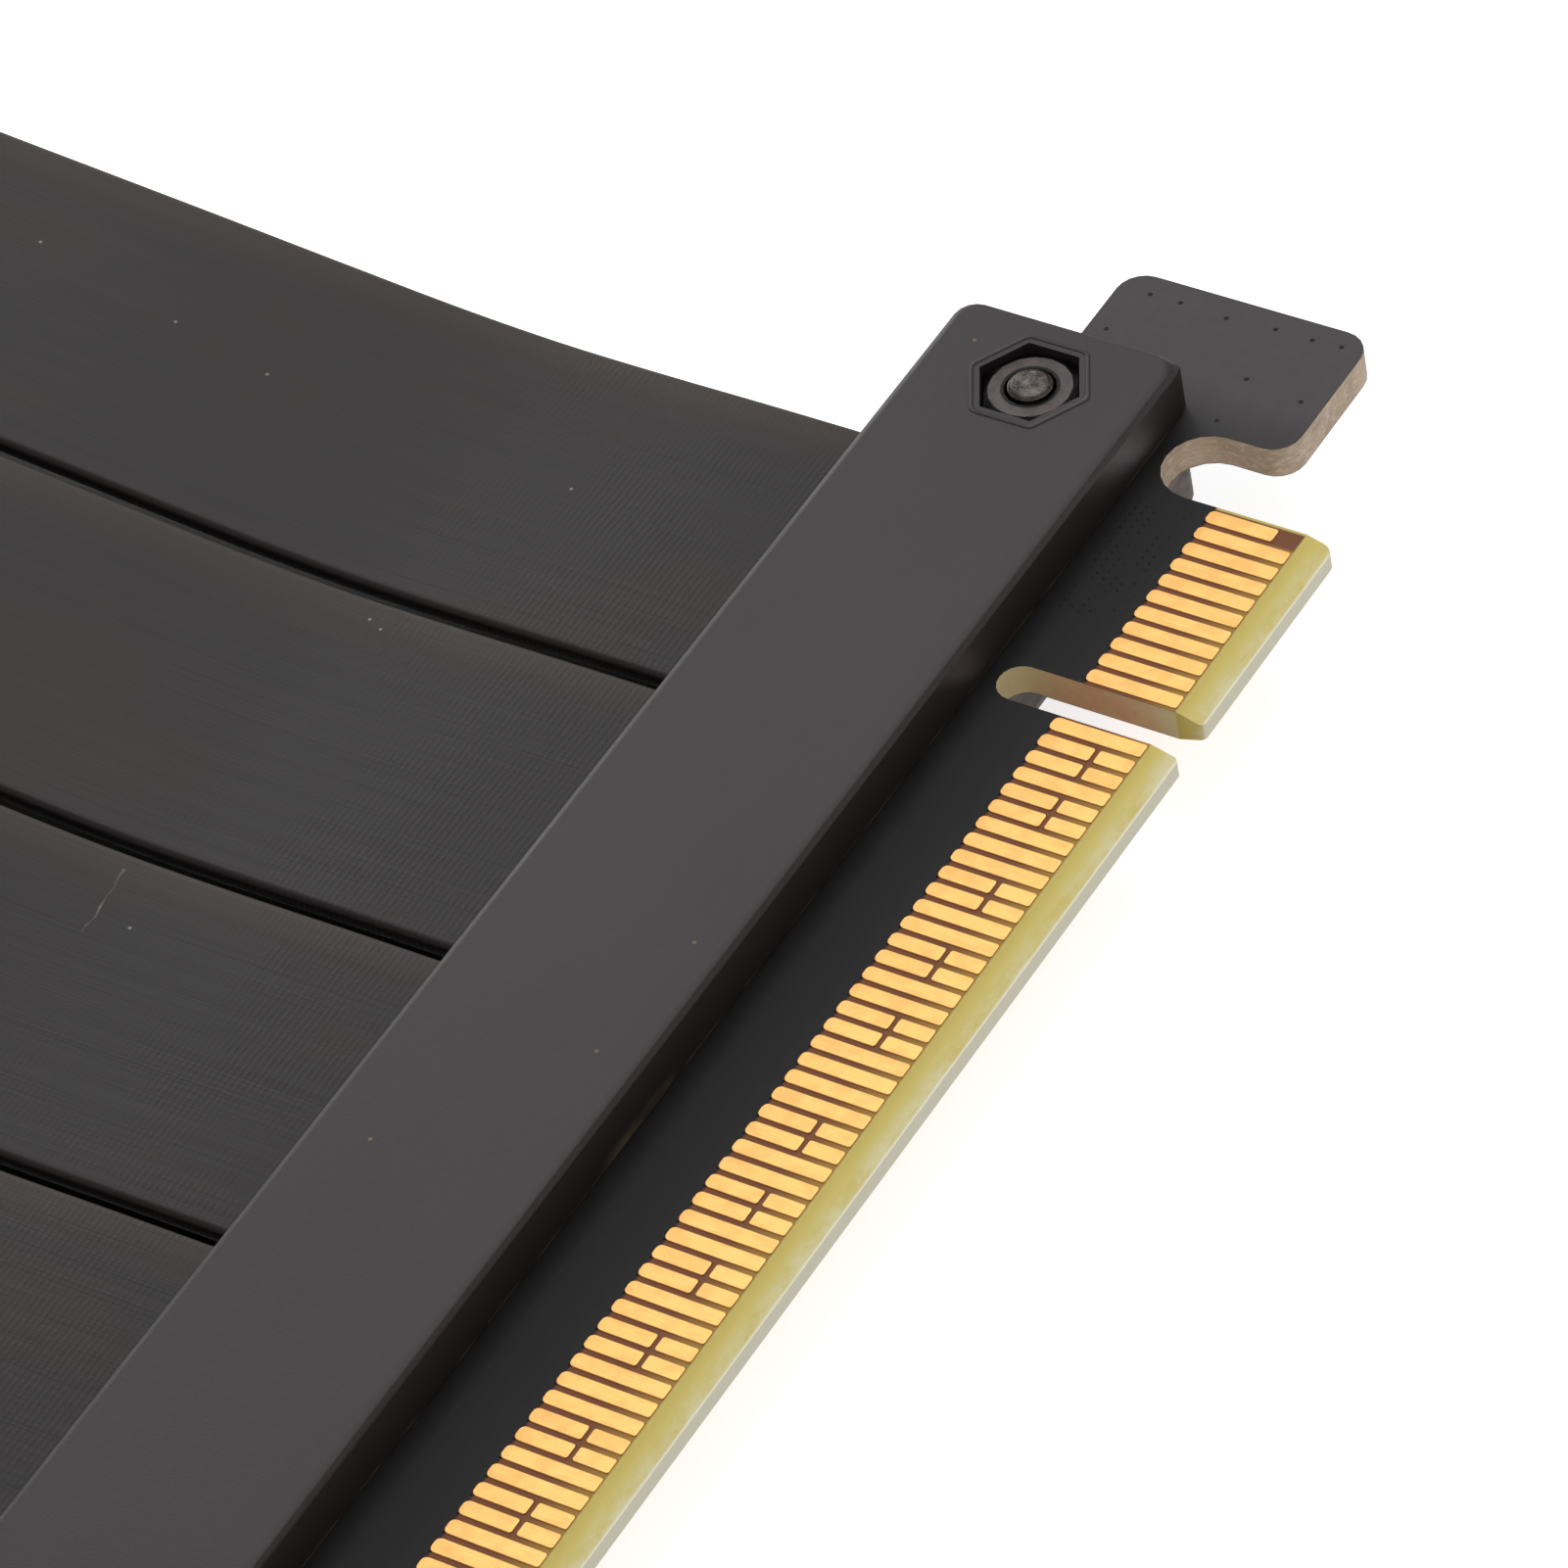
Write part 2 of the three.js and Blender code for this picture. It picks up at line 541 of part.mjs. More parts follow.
// Route of a ribbon's middle, as [distance from the plug's housing, height]. Leaving and arriving points give
// the distance from the near housing and the rise from the exit, and free ones a share of the span and the
// rise from rest
function routePoints({ exit, rest, leaving, free, arriving }) {
  return [
    ...leaving.map(([run, rise]) => [run, exit + rise]),
    ...free.map(([share, rise]) => [share * CABLE_SPAN, rest + rise]),
    ...arriving.map(([run, rise]) => [CABLE_SPAN - run, exit + rise]),
  ];
}

const UPPER_ROUTE = routePoints({
  exit: UPPER_RIBBON_Z,
  rest: UPPER_REST,
  leaving: [
    [-RIBBON_TAIL, 0], [0, 0], [5, -0.04], [10, -0.12], [15, -0.1], [20, 0.18], [26, 0.76], [33, 1.48],
  ],
  free: [
    [0.21, 7.88], [0.25, 8.58], [0.3, 8.88], [0.35, 8.28], [0.41, 6.48], [0.46, 3.98],
    [0.51, 1.68], [0.56, 0.33], [0.61, 0], [0.69, 0], [0.75, 0.08],
  ],
  arriving: [[39, -4.82], [29, -3.22], [19, -1.42], [10, -0.32], [4, -0.02], [0, 0], [-RIBBON_TAIL, 0]],
});
const LOWER_ROUTE = routePoints({
  exit: LOWER_RIBBON_Z,
  rest: LOWER_REST,
  leaving: [[-RIBBON_TAIL, 0], [0, 0], [5, -0.05], [12, -0.45]],
  free: [
    [0.1, 0.72], [0.14, 0.17], [0.18, 0], [0.25, 0], [0.33, 0], [0.41, 0], [0.48, 0],
    [0.56, 0], [0.64, 0], [0.71, 0], [0.79, 0], [0.84, 0.04], [0.88, 0.37], [0.92, 1.07],
  ],
  arriving: [[9, -0.2], [4, -0.02], [0, 0], [-RIBBON_TAIL, 0]],
});

// Ribbon with shaved edges carried along its route; its width always lies along Y
function ribbon(route, y) {
  const points = route.map(([run, height]) => new THREE.Vector3(PLUG_X - run, y, height));
  const path = new THREE.CatmullRomCurve3(points, false, "centripetal");
  const across = new THREE.Vector3(0, 1, 0);
  path.computeFrenetFrames = (segments) => {
    const tangents = Array.from({ length: segments + 1 }, (_, i) => path.getTangentAt(i / segments));
    const normals = tangents.map(() => across.clone());
    const binormals = tangents.map((tangent) => tangent.clone().cross(across).normalize());
    return { tangents, normals, binormals };
  };
  const w = RIBBON_WIDTH / 2;
  const t = RIBBON_THICKNESS / 2;
  const e = RIBBON_EDGE;
  const corners = [
    [-w, -t + e], [-w + e, -t], [w - e, -t], [w, -t + e],
    [w, t - e], [w - e, t], [-w + e, t], [-w, t - e],
  ];
  const section = new THREE.Shape(corners.map(([x, z]) => new THREE.Vector2(x, z)));
  return new THREE.ExtrudeGeometry(section, { steps: RIBBON_STEPS, extrudePath: path });
}

const model = new THREE.Group();
const plug = new THREE.Group();
plug.position.set(PLUG_X, 0, 0);
const socket = new THREE.Group();
socket.position.set(SOCKET_X, 0, 0);
socket.rotation.z = Math.PI;
model.add(plug, socket);

function addPiece(group, name, geometry, look) {
  const mesh = new THREE.Mesh(geometry, material(look));
  mesh.name = name;
  group.add(mesh);
}

const hookBackX = CONTACT_EDGE - HOOK_SETBACK - HOOK_LENGTH - BOARD_CLEARANCE;
const beyond = HOUSING_HALF + 1;
const recess = BOARD_HALF + BOARD_CLEARANCE;
const plugPassages = [
  [REAR_WALL, HOUSING_DEPTH + 1, -recess, recess],
  [hookBackX, HOUSING_DEPTH + 1, 0, beyond],
];
const earStepX = HOUSING_DEPTH + EAR_STEP - BOARD_CLEARANCE;
const socketPassages = [
  [REAR_WALL, SOCKET_BOARD_FRONT + BOARD_CLEARANCE, -recess, recess],
  [earStepX, SOCKET_BOARD_FRONT + BOARD_CLEARANCE, -beyond, beyond],
];

addPiece(plug, "plug_board", geometryOf(plugBoard()), "board");
addPiece(plug, "plug_upper_shell", geometryOf(upperShell()), "shell");
addPiece(plug, "plug_lower_shell", geometryOf(lowerShell(HOUSING_DEPTH, plugPassages)), "shell");
addPiece(socket, "socket_board", geometryOf(socketBoard()), "board");
addPiece(socket, "card_slot", geometryOf(slotBody()), "slot");
addPiece(socket, "socket_upper_shell", geometryOf(upperShell()), "shell");
addPiece(socket, "socket_lower_shell", geometryOf(lowerShell(BASE_DEPTH, socketPassages)), "shell");

for (const [name, group] of [["plug", plug], ["socket", socket]]) {
  SCREW_PLACES.forEach((y, i) => {
    addPiece(group, `${name}_screw_${i + 1}`, geometryOf(screw(y)), "screw");
    addPiece(group, `${name}_nut_${i + 1}`, geometryOf(nut(y)), "nut");
  });
}

for (let i = 0; i < RIBBON_COUNT; i += 1) {
  const y = (RIBBON_ROW - RIBBON_WIDTH) / 2 - i * RIBBON_PITCH;
  addPiece(model, `upper_ribbon_${i + 1}`, ribbon(UPPER_ROUTE, y), "ribbon");
  addPiece(model, `lower_ribbon_${i + 1}`, ribbon(LOWER_ROUTE, y), "ribbon");
}

export default model;
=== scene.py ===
"""GPU riser cable: ribbons, gold contacts, moulded housings and slot around the CAD frame."""
import functools
import math

import bmesh
import bpy
import numpy as np
from mathutils import Matrix


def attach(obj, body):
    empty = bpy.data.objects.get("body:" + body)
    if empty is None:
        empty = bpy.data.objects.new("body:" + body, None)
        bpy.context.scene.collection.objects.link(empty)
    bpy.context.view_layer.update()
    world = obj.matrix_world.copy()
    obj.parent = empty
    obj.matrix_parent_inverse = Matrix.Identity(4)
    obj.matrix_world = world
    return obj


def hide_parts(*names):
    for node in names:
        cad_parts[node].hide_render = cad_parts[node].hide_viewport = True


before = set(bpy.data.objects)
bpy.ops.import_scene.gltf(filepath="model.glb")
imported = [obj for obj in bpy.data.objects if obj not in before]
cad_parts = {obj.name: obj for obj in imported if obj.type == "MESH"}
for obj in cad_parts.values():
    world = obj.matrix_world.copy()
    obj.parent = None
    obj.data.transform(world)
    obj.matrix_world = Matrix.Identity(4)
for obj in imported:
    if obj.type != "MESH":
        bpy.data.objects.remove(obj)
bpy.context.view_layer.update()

bl_info = {
    "name": "GPU Riser Cable",
    "version": (1, 0, 0),
    "blender": (4, 5, 0),
    "location": "View3D > Sidebar > Riser Cable",
    "description": "Builds the ribbons, contacts, housings, slot and studio of a flat riser cable",
    "category": "Object",
}

MM = 0.001

# Sizes in millimetres, as in the part's source
PLUG_X = 100.445
SOCKET_X = -96.555
CABLE_SPAN = PLUG_X - SOCKET_X
HOUSING_DEPTH = 10.64
CONTACT_EDGE = 20.2
BOARD_BOTTOM = 4.0
BOARD_TOP = 5.57
UPPER_TOP = 8.22
UPPER_EXIT = 7.22
LOWER_EXIT = 2.35
RIBBON_THICKNESS = 0.9
RIBBON_PITCH = 16.45
RIBBON_TAIL = 4.2
RIBBON_REST_GAP = 0.03
RIBBON_LAYER_GAP = 0.24
LOWER_REST = RIBBON_THICKNESS / 2 + RIBBON_REST_GAP
UPPER_REST = LOWER_REST + RIBBON_THICKNESS + RIBBON_LAYER_GAP
RIBBON_PLACES = [RIBBON_PITCH * (2 - i) for i in range(5)]
PIN_1_Y = 43.555
PIN_COUNT = 82
PINS_BEFORE_KEY = 11
KEY_PITCHES = 2
PAD_LENGTH = 4.3
PAD_SETBACK = 1.3
PAD_HEIGHT = 0.05
SHORT_SETBACK = 2.4
SPLIT_GAP = 0.24
SPLIT_OUTER = 1.62
PAIRS_FRONT = [13, 16, 21, 25, 29, 35, 39, 43, 47, 52, 56, 60, 64, 68, 72, 76, 80]
PAIRS_BACK = [14, 19, 23, 27, 33, 37, 41, 45, 50, 54, 58, 62, 66, 70, 74, 78]
SHORT_FRONT = [1]
SHORT_BACK = [17, 31, 48, 81]
SCREW_X = 5.32
SCREW_Y = 45.525
SCREW_END = 8.07
NUT_FACE = 7.92
HOUSING_HALF = 49.225
HEXAGONS = [(PLUG_X + SCREW_X, SCREW_Y), (PLUG_X + SCREW_X, -SCREW_Y),
            (SOCKET_X - SCREW_X, SCREW_Y), (SOCKET_X - SCREW_X, -SCREW_Y)]
SLOT_MIDDLE = 16.79
SLOT_TOP = 16.82
HOUSING_CORNER = 1.1
HEXAGON_REACH = (1.95, 2.7)
RIM_HALF_WIDTH = 0.11
RIM_CORNER = 0.3
RIM_ROOT = 0.02
THREAD_RADIUS = 0.953
THREAD_DEPTH = 0.03
THREAD_PITCH = 0.4
SPRING_TOP = 0.35
SPRING_BOTTOM = 3.2
SPRING_FOOT = 0.95
SPRING_BOW = 0.42
SPRING_HALF_WIDTH = 0.2
SPRING_THICKNESS = 0.09

# How finely a ribbon is divided: rows along it, points across a face and points round a long edge
RIBBON_ROWS = 241
FACE_POINTS = 61
EDGE_POINTS = 13

# Routes of the two layers: distance from the near housing with the rise from the exit, and on the free
# stretch a share of the span with the rise from rest
UPPER_ROUTE = {
    "exit": UPPER_EXIT,
    "rest": UPPER_REST,
    "leaving": [(-RIBBON_TAIL, 0), (0, 0), (5, -0.04), (10, -0.12), (15, -0.1), (20, 0.18), (26, 0.76),
                (33, 1.48)],
    "free": [(0.21, 7.88), (0.25, 8.58), (0.3, 8.88), (0.35, 8.28), (0.41, 6.48), (0.46, 3.98),
             (0.51, 1.68), (0.56, 0.33), (0.61, 0), (0.69, 0), (0.75, 0.08)],
    "arriving": [(39, -4.82), (29, -3.22), (19, -1.42), (10, -0.32), (4, -0.02), (0, 0), (-RIBBON_TAIL, 0)],
}
LOWER_ROUTE = {
    "exit": LOWER_EXIT,
    "rest": LOWER_REST,
    "leaving": [(-RIBBON_TAIL, 0), (0, 0), (5, -0.05), (12, -0.45)],
    "free": [(0.1, 0.72), (0.14, 0.17), (0.18, 0), (0.25, 0), (0.33, 0), (0.41, 0), (0.48, 0),
             (0.56, 0), (0.64, 0), (0.71, 0), (0.79, 0), (0.84, 0.04), (0.88, 0.37), (0.92, 1.07)],
    "arriving": [(9, -0.2), (4, -0.02), (0, 0), (-RIBBON_TAIL, 0)],
}

# Camera fitted to the contact row: its place, axes and lens
CAMERA_PLACE = (0.269515, -0.175195, 0.25669)
CAMERA_RIGHT = (0.84750441, 0.51019367, -0.14641956)
CAMERA_UP = (-0.27581188, 0.65898596, 0.6997609)
CAMERA_BACK = (0.45350201, -0.55266619, 0.69921099)
CAMERA_LENS = 204.11
SENSOR_WIDTH = 36.0

# Lamps: name, place, size and share of the key's power
LAMPS = [("key_lamp", (0.05, 0.2, 0.45), 0.35, 1.0), ("side_lamp", (-0.33, 0.35, 0.2), 0.22, 1.0)]
FLOOR_REACH = 6.0
FLOOR_DROP = 0.0002
WHITE = (1.0, 1.0, 1.0, 1.0)


def linear(red, green, blue):
    """Scene colour of an 8-bit display colour: the display curve undone on each channel."""
    share = np.array([red, green, blue]) / 255.0
    low = share / 12.92
    high = ((share + 0.055) / 1.055) ** 2.4
    return tuple(float(v) for v in np.where(share <= 0.04045, low, high)) + (1.0,)


# Sizes and colours a user may change


class RibbonSettings(bpy.types.PropertyGroup):
    """Sizes and colour of the flat ribbons"""
    width: bpy.props.FloatProperty(
        name="Width", description="Width of one ribbon", default=0.01585, unit="LENGTH")
    thickness: bpy.props.FloatProperty(
        name="Thickness", description="Thickness of one ribbon", default=0.0009, unit="LENGTH")
    edge: bpy.props.FloatProperty(
        name="Edge Radius", description="Radius of the ribbon's long edges", default=0.0003, unit="LENGTH")
    conductors: bpy.props.IntProperty(
        name="Conductors", description="Conductor pairs in one ribbon", default=12)
    ridge: bpy.props.FloatProperty(
        name="Ridge", description="Height of the jacket over a conductor", default=0.000004, unit="LENGTH")
    jacket: bpy.props.FloatVectorProperty(
        name="Jacket", description="Colour of the jacket", subtype="COLOR", size=4,
        default=linear(27, 23, 22))


class ContactSettings(bpy.types.PropertyGroup):
    """Sizes and colour of the gold contacts"""
    width: bpy.props.FloatProperty(
        name="Width", description="Width of one contact", default=0.00072, unit="LENGTH")
    film: bpy.props.FloatProperty(
        name="Film", description="Height of the gold over the printed pad", default=0.000012, unit="LENGTH")
    inner: bpy.props.FloatProperty(
        name="Inner Corner", description="Corner radius at the inner end", default=0.00025, unit="LENGTH")
    outer: bpy.props.FloatProperty(
        name="Outer Corner", description="Corner radius at the outer end", default=0.0001, unit="LENGTH")
    gold: bpy.props.FloatVectorProperty(
        name="Gold", description="Colour of the plating", subtype="COLOR", size=4,
        default=linear(250, 192, 113))


class HousingSettings(bpy.types.PropertyGroup):
    """Edges and colour of the moulded housings"""
    edge: bpy.props.FloatProperty(
        name="Edge Radius", description="Rounding of the housing's edges", default=0.00016, unit="LENGTH")
    rim_flats: bpy.props.FloatProperty(
        name="Rim Flats", description="Distance across the flats of the rim round a nut", default=0.0049,
        unit="LENGTH")
    rim_height: bpy.props.FloatProperty(
        name="Rim Height", description="Height of the rim round a nut", default=0.00005, unit="LENGTH")
    plastic: bpy.props.FloatVectorProperty(
        name="Plastic", description="Colour of the housings", subtype="COLOR", size=4,
        default=linear(37, 31, 31))


class BoardSettings(bpy.types.PropertyGroup):
    """Edges and colours of the circuit boards"""
    edge: bpy.props.FloatProperty(
        name="Edge Radius", description="Rounding of the board's edges", default=0.00004, unit="LENGTH")
    mask: bpy.props.FloatVectorProperty(
        name="Mask", description="Colour of the solder mask", subtype="COLOR", size=4,
        default=linear(27, 25, 25))
    laminate: bpy.props.FloatVectorProperty(
        name="Laminate", description="Colour of the cut laminate", subtype="COLOR", size=4,
        default=linear(226, 202, 176))
    bevel: bpy.props.FloatVectorProperty(
        name="Bevel", description="Colour of the bevelled contact edge", subtype="COLOR", size=4,
        default=linear(222, 203, 116))


class StageSettings(bpy.types.PropertyGroup):
    """Light and floor of the studio"""
    sky: bpy.props.FloatProperty(name="Sky", description="Strength of the even light", default=0.45)
    key: bpy.props.FloatProperty(
        name="Key", description="Power of the large soft lamp", default=0.9, unit="POWER")
    floor: bpy.props.FloatVectorProperty(
        name="Floor", description="Colour of the floor", subtype="COLOR", size=4,
        default=(0.8, 0.8, 0.8, 1.0))
    lift: bpy.props.FloatProperty(
        name="Lift", description="Light that the floor shows to the camera", default=0.78)


# Shader maths


class Term:
    """A socket of a node tree: arithmetic on it adds Math nodes"""

    def __init__(self, tree, socket):
        self.tree = tree
        self.socket = socket

    def math(self, operation, *values):
        return self.tree.node("ShaderNodeMath", {"operation": operation}, dict(enumerate(values)))

    def __add__(self, other):
        return self.math("ADD", self, other)

    __radd__ = __add__

    def __sub__(self, other):
        return self.math("SUBTRACT", self, other)

    def __rsub__(self, other):
        return self.math("SUBTRACT", other, self)

    def __mul__(self, other):
        return self.math("MULTIPLY", self, other)

    __rmul__ = __mul__

    def __truediv__(self, other):
        return self.math("DIVIDE", self, other)

    def __gt__(self, other):
        return self.math("GREATER_THAN", self, other)

    def __lt__(self, other):
        return self.math("LESS_THAN", self, other)

    def __abs__(self):
        return self.math("ABSOLUTE", self)

    def fraction(self):
        return self.math("FRACT", self)

    def sine(self):
        return self.math("SINE", self)

    def most(self, other):
        return self.math("MAXIMUM", self, other)

    def rise(self, low, high):
        """0 below low and 1 above high, with a smooth step between; low above high turns it round"""
        turned = low > high
        first, last = (high, low) if turned else (low, high)
        settings = {"interpolation_type": "SMOOTHSTEP"}
        step = self.tree.node("ShaderNodeMapRange", settings, {0: self, 1: first, 2: last, 3: 0.0, 4: 1.0})
        return 1 - step if turned else step

    def within(self, low, high, soft):
        """1 between low and high and 0 outside, with edges soft wide"""
        return self.rise(low - soft, low + soft) * self.rise(high + soft, high - soft)


class Tree:
    """A node tree, in which every node comes from one method"""

    def __init__(self, tree):
        self.tree = tree
        tree.nodes.clear()

    def node(self, kind, settings=None, values=None, output=0):
        """Makes a node of a type: its settings are set first, then the values or links of its sockets;
        gives the chosen output as a Term, or the node itself when output is None"""
        made = self.tree.nodes.new(kind)
        for key, value in (settings or {}).items():
            setattr(made, key, value)
        for key, value in (values or {}).items():
            self.feed(made.inputs[key], value)
        return made if output is None else Term(self, made.outputs[output])

    def feed(self, socket, value):
        """Links a Term to a socket, or sets a number, colour or vector on it"""
        if isinstance(value, Term):
            self.tree.links.new(value.socket, socket)
        elif hasattr(value, "__len__"):
            socket.default_value = tuple(value)[:len(socket.default_value)]
        else:
            socket.default_value = value


class Finish(Tree):
    """A procedural material around one Principled shader, with its patterns in millimetres"""

    def __init__(self, name):
        self.material = bpy.data.materials.new(name)
        self.material.use_nodes = True
        super().__init__(self.material.node_tree)
        self.shader = self.node("ShaderNodeBsdfPrincipled", output=None)
        self.surface = Term(self, self.shader.outputs["BSDF"])
        self.output = self.node("ShaderNodeOutputMaterial", None, {"Surface": self.surface}, None)

    def place(self):
        """Object coordinates in millimetres, as one vector and as x, y and z"""
        raw = self.node("ShaderNodeTexCoord", output="Object")
        point = self.node("ShaderNodeVectorMath", {"operation": "SCALE"}, {0: raw, "Scale": 1 / MM})
        return point, *self.split(point)

    def flow(self):
        """The ribbon's own map in millimetres: distance along it, and across it"""
        raw = self.node("ShaderNodeUVMap", {"uv_map": "flow"})
        point = self.node("ShaderNodeVectorMath", {"operation": "SCALE"}, {0: raw, "Scale": 1 / MM})
        return self.split(point)[:2]

    def split(self, vector):
        made = self.node("ShaderNodeSeparateXYZ", None, {0: vector}, None)
        return [Term(self, socket) for socket in made.outputs]

    def join(self, x, y, z):
        return self.node("ShaderNodeCombineXYZ", None, {0: x, 1: y, 2: z})

    def stretch(self, vector, x, y, z):
        return self.node("ShaderNodeVectorMath", {"operation": "MULTIPLY"}, {0: vector, 1: (x, y, z)})

    def noise(self, vector, scale, detail=2.0, roughness=0.5):
        return self.node("ShaderNodeTexNoise", None,
                         {"Vector": vector, "Scale": scale, "Detail": detail, "Roughness": roughness})

    def spots(self, x, y, places, radius):
        """1 in round spots of one radius at the given places"""
        inside = [((x - px) * (x - px) + (y - py) * (y - py)) < radius * radius for px, py in places]
        return functools.reduce(Term.most, inside)

    def stroke(self, x, y, start, end, width):
        """1 on a straight stroke from start to end, with soft edges"""
        run = np.array(end) - start
        length = float(np.hypot(*run))
        cosine, sine = (float(v) / length for v in run)
        along = (x - start[0]) * cosine + (y - start[1]) * sine
        off = abs((y - start[1]) * cosine - (x - start[0]) * sine)
        return off.rise(width, 0.3 * width) * along.within(0.0, length, 0.1)

    def mix(self, first, second, factor):
        """Colour between first and second"""
        return self.node("ShaderNodeMix", {"data_type": "RGBA"}, {0: factor, 6: first, 7: second}, 2)

    def shade(self, colour, amount):
        """Colour times a grey amount"""
        return self.node("ShaderNodeVectorMath", {"operation": "SCALE"}, {0: colour, "Scale": amount})

    def finish(self, colour, roughness, height=None, depth=0.00001, **constants):
        """Feeds the shader; height times depth, in metres, is the bump"""
        self.feed(self.shader.inputs["Base Color"], colour)
        self.feed(self.shader.inputs["Roughness"], roughness)
        if height is not None:
            bump = self.node("ShaderNodeBump", None, {"Height": height, "Distance": depth, "Strength": 1.0})
            self.feed(self.shader.inputs["Normal"], bump)
        for key, value in constants.items():
            self.feed(self.shader.inputs[key.replace("_", " ")], value)
        return self.material


def scaled(colour, amount):
    """Colour with its three channels times an amount"""
    return tuple(amount * v for v in colour[:3]) + (1.0,)


# Wear in X and Y: dust on the housing's top and on the ribbons, and a scratch on the third ribbon
HOUSING_SPECKS = [(111.47, 44.54), (102.31, 46.89), (109.58, 12.26), (109.06, 5.7), (103.28, -1.83),
                  (111.36, 32.11)]
RIBBON_SPECKS = [(62.02, 35.74), (90.6, 33.14), (75.1, 33.52), (86.86, 23.23), (87.6, 22.91), (69.91, 34.34),
                 (87.43, 4.42)]
SCRATCH_START = (85.26, 7.05)
SCRATCH_END = (85.86, 3.46)

# Fine ribs across a ribbon: their pitch, and how far from a housing they are full and gone
RIB_PITCH = 0.29
RIBS_FULL = 3.0
RIBS_GONE = 22.0

# The smear low on the plug's housing: where it starts and ends in Y, and how high it and the seam reach
SMEAR_START = (1.6, 4.4)
SMEAR_END = (8.2, 5.6)
SMEAR_TOP = (6.35, 5.6)
SEAM_TOP = (5.72, 5.6)


def plastic_finish(name, colour):
    """Satin moulded plastic: fine grain, soft smudges, a few dust specks, and brown wear on the front and
    back faces of the plug's housing: one smear, and patches from the seam over the board downwards"""
    f = Finish(name)
    point, x, y, z = f.place()
    grain = f.noise(point, 9.0, 3.0, 0.6)
    smudge = f.noise(f.stretch(point, 1.0, 0.35, 1.0), 0.16, 3.0, 0.55)
    cloud = f.noise(point, 0.05, 2.0)
    tone = 0.82 + 0.22 * smudge + 0.18 * cloud
    dust = f.spots(x, y, HOUSING_SPECKS, 0.09)
    faces = abs(x - SCREW_X - PLUG_X).within(5.2, 5.5, 0.04)
    rub = f.noise(f.stretch(point, 1.0, 0.35, 0.6), 1.0, 2.0, 0.5).rise(0.3, 0.62)
    smear = faces * z.rise(*SMEAR_TOP) * rub * y.rise(*SMEAR_START) * y.rise(*SMEAR_END)
    patches = f.noise(f.stretch(point, 1.0, 0.4, 1.0), 0.9, 3.0).rise(0.42, 0.62)
    seam = faces * z.rise(*SEAM_TOP) * patches
    worn = (0.5 * smear).most(0.5 * seam)
    base = f.shade(colour, tone)
    base = f.mix(base, linear(150, 128, 100), (0.5 * dust).most(worn))
    rough = 0.44 + 0.16 * smudge - 0.08 * cloud + 0.2 * dust
    height = 0.55 * grain + 0.45 * f.noise(point, 3.0, 2.0)
    return f.finish(base, rough, height, 0.000016, Specular_IOR_Level=0.42)


def jacket_finish(colour):
    """Ribbon jacket: lengthwise streaks, fine ribs across it near the housings, a painted highlight along
    one long edge, and dust
    """
    f = Finish("ribbon_jacket")
    run, across = f.flow()
    body, x, y, z = f.place()
    lines = f.noise(f.join(run * 0.045, y * 5.5, z * 0.2), 1.0, 4.0, 0.7)
    broad = f.noise(f.join(run * 0.03, y * 0.9, 3.0), 1.0, 3.0, 0.55)
    wander = f.noise(f.join(run * 0.2, y * 0.5, 5.0), 1.0, 2.0)
    streak = lines.rise(0.32, 0.68)
    ribs = (run * (2.0 * math.pi / RIB_PITCH) + 4.0 * wander).sine()
    near = run.rise(RIBS_GONE, RIBS_FULL) + run.rise(CABLE_SPAN - RIBS_GONE, CABLE_SPAN - RIBS_FULL)
    patch = f.noise(body, 0.14, 3.0).rise(0.38, 0.6)
    cross = near * (0.3 + 0.7 * patch) * (0.35 + 0.65 * streak)
    # Painted highlight: a band lighter towards the ribbon's long edge on the +Y side, the side that faces
    # the lamps
    edge = 0.5 * across.rise(7.45, 7.85) + 0.5 * across.rise(5.2, 7.8)
    dust = f.spots(x, y, RIBBON_SPECKS, 0.08)
    wobble = f.noise(body, 0.6, 2.0) - 0.5
    scratch = f.stroke(x + 0.9 * wobble, y, SCRATCH_START, SCRATCH_END, 0.07)
    scratch = scratch * (0.25 + 0.75 * f.noise(body, 1.4, 2.0).rise(0.38, 0.58))
    away = 1 - near
    brown = f.noise(f.join(run * 0.06, y * 0.12, 7.0), 1.0, 3.0, 0.55)
    band = f.noise(f.join(run * 0.08, y * 1.7, 4.0), 1.0, 3.0, 0.6).rise(0.34, 0.66)
    tone = 0.77 + (0.12 + 0.08 * away) * streak + 0.12 * away * band + 0.28 * broad
    tone = tone + 0.08 * near * patch + 0.07 * cross * ribs
    base = f.shade(colour, tone)
    base = f.mix(base, linear(48, 37, 30), 0.3 * brown.rise(0.5, 0.7))
    # The painted highlight of the +Y edge
    base = f.mix(base, linear(74, 64, 57), 0.5 * edge)
    base = f.mix(base, linear(150, 145, 140), (0.55 * dust).most(0.35 * scratch))
    rough = 0.42 + 0.18 * lines - 0.06 * broad + 0.05 * cross
    height = 0.5 * lines + 0.35 * cross * (0.5 + 0.5 * ribs) + 0.15 * f.noise(body, 7.0, 2.0)
    return f.finish(base, rough, height, 0.00003, Specular_IOR_Level=0.3)


# The board's places in X and Y: the hook's holes, the small holes by the first contacts, the key, the tab
HOOK_VIAS = [(106.13, 54.56), (107.6, 54.57), (105.44, 51.97), (109.89, 54.46), (112.18, 54.62),
             (113.95, 54.62), (115.31, 54.69), (112.52, 51.46), (115.32, 51.09), (112.59, 48.78)]
VIA_RADIUS = 0.115
HOLE_ZONE_X = (111.6, 114.6)
HOLE_ZONE_Y = (36.5, 43.2)
HOLE_PITCH_X = 0.44
HOLE_PITCH_Y = 0.42
KEY_X = (110.0, 111.0)
KEY_Y = (30.9, 33.2)
TAB_Y = (-40.2, 44.3)


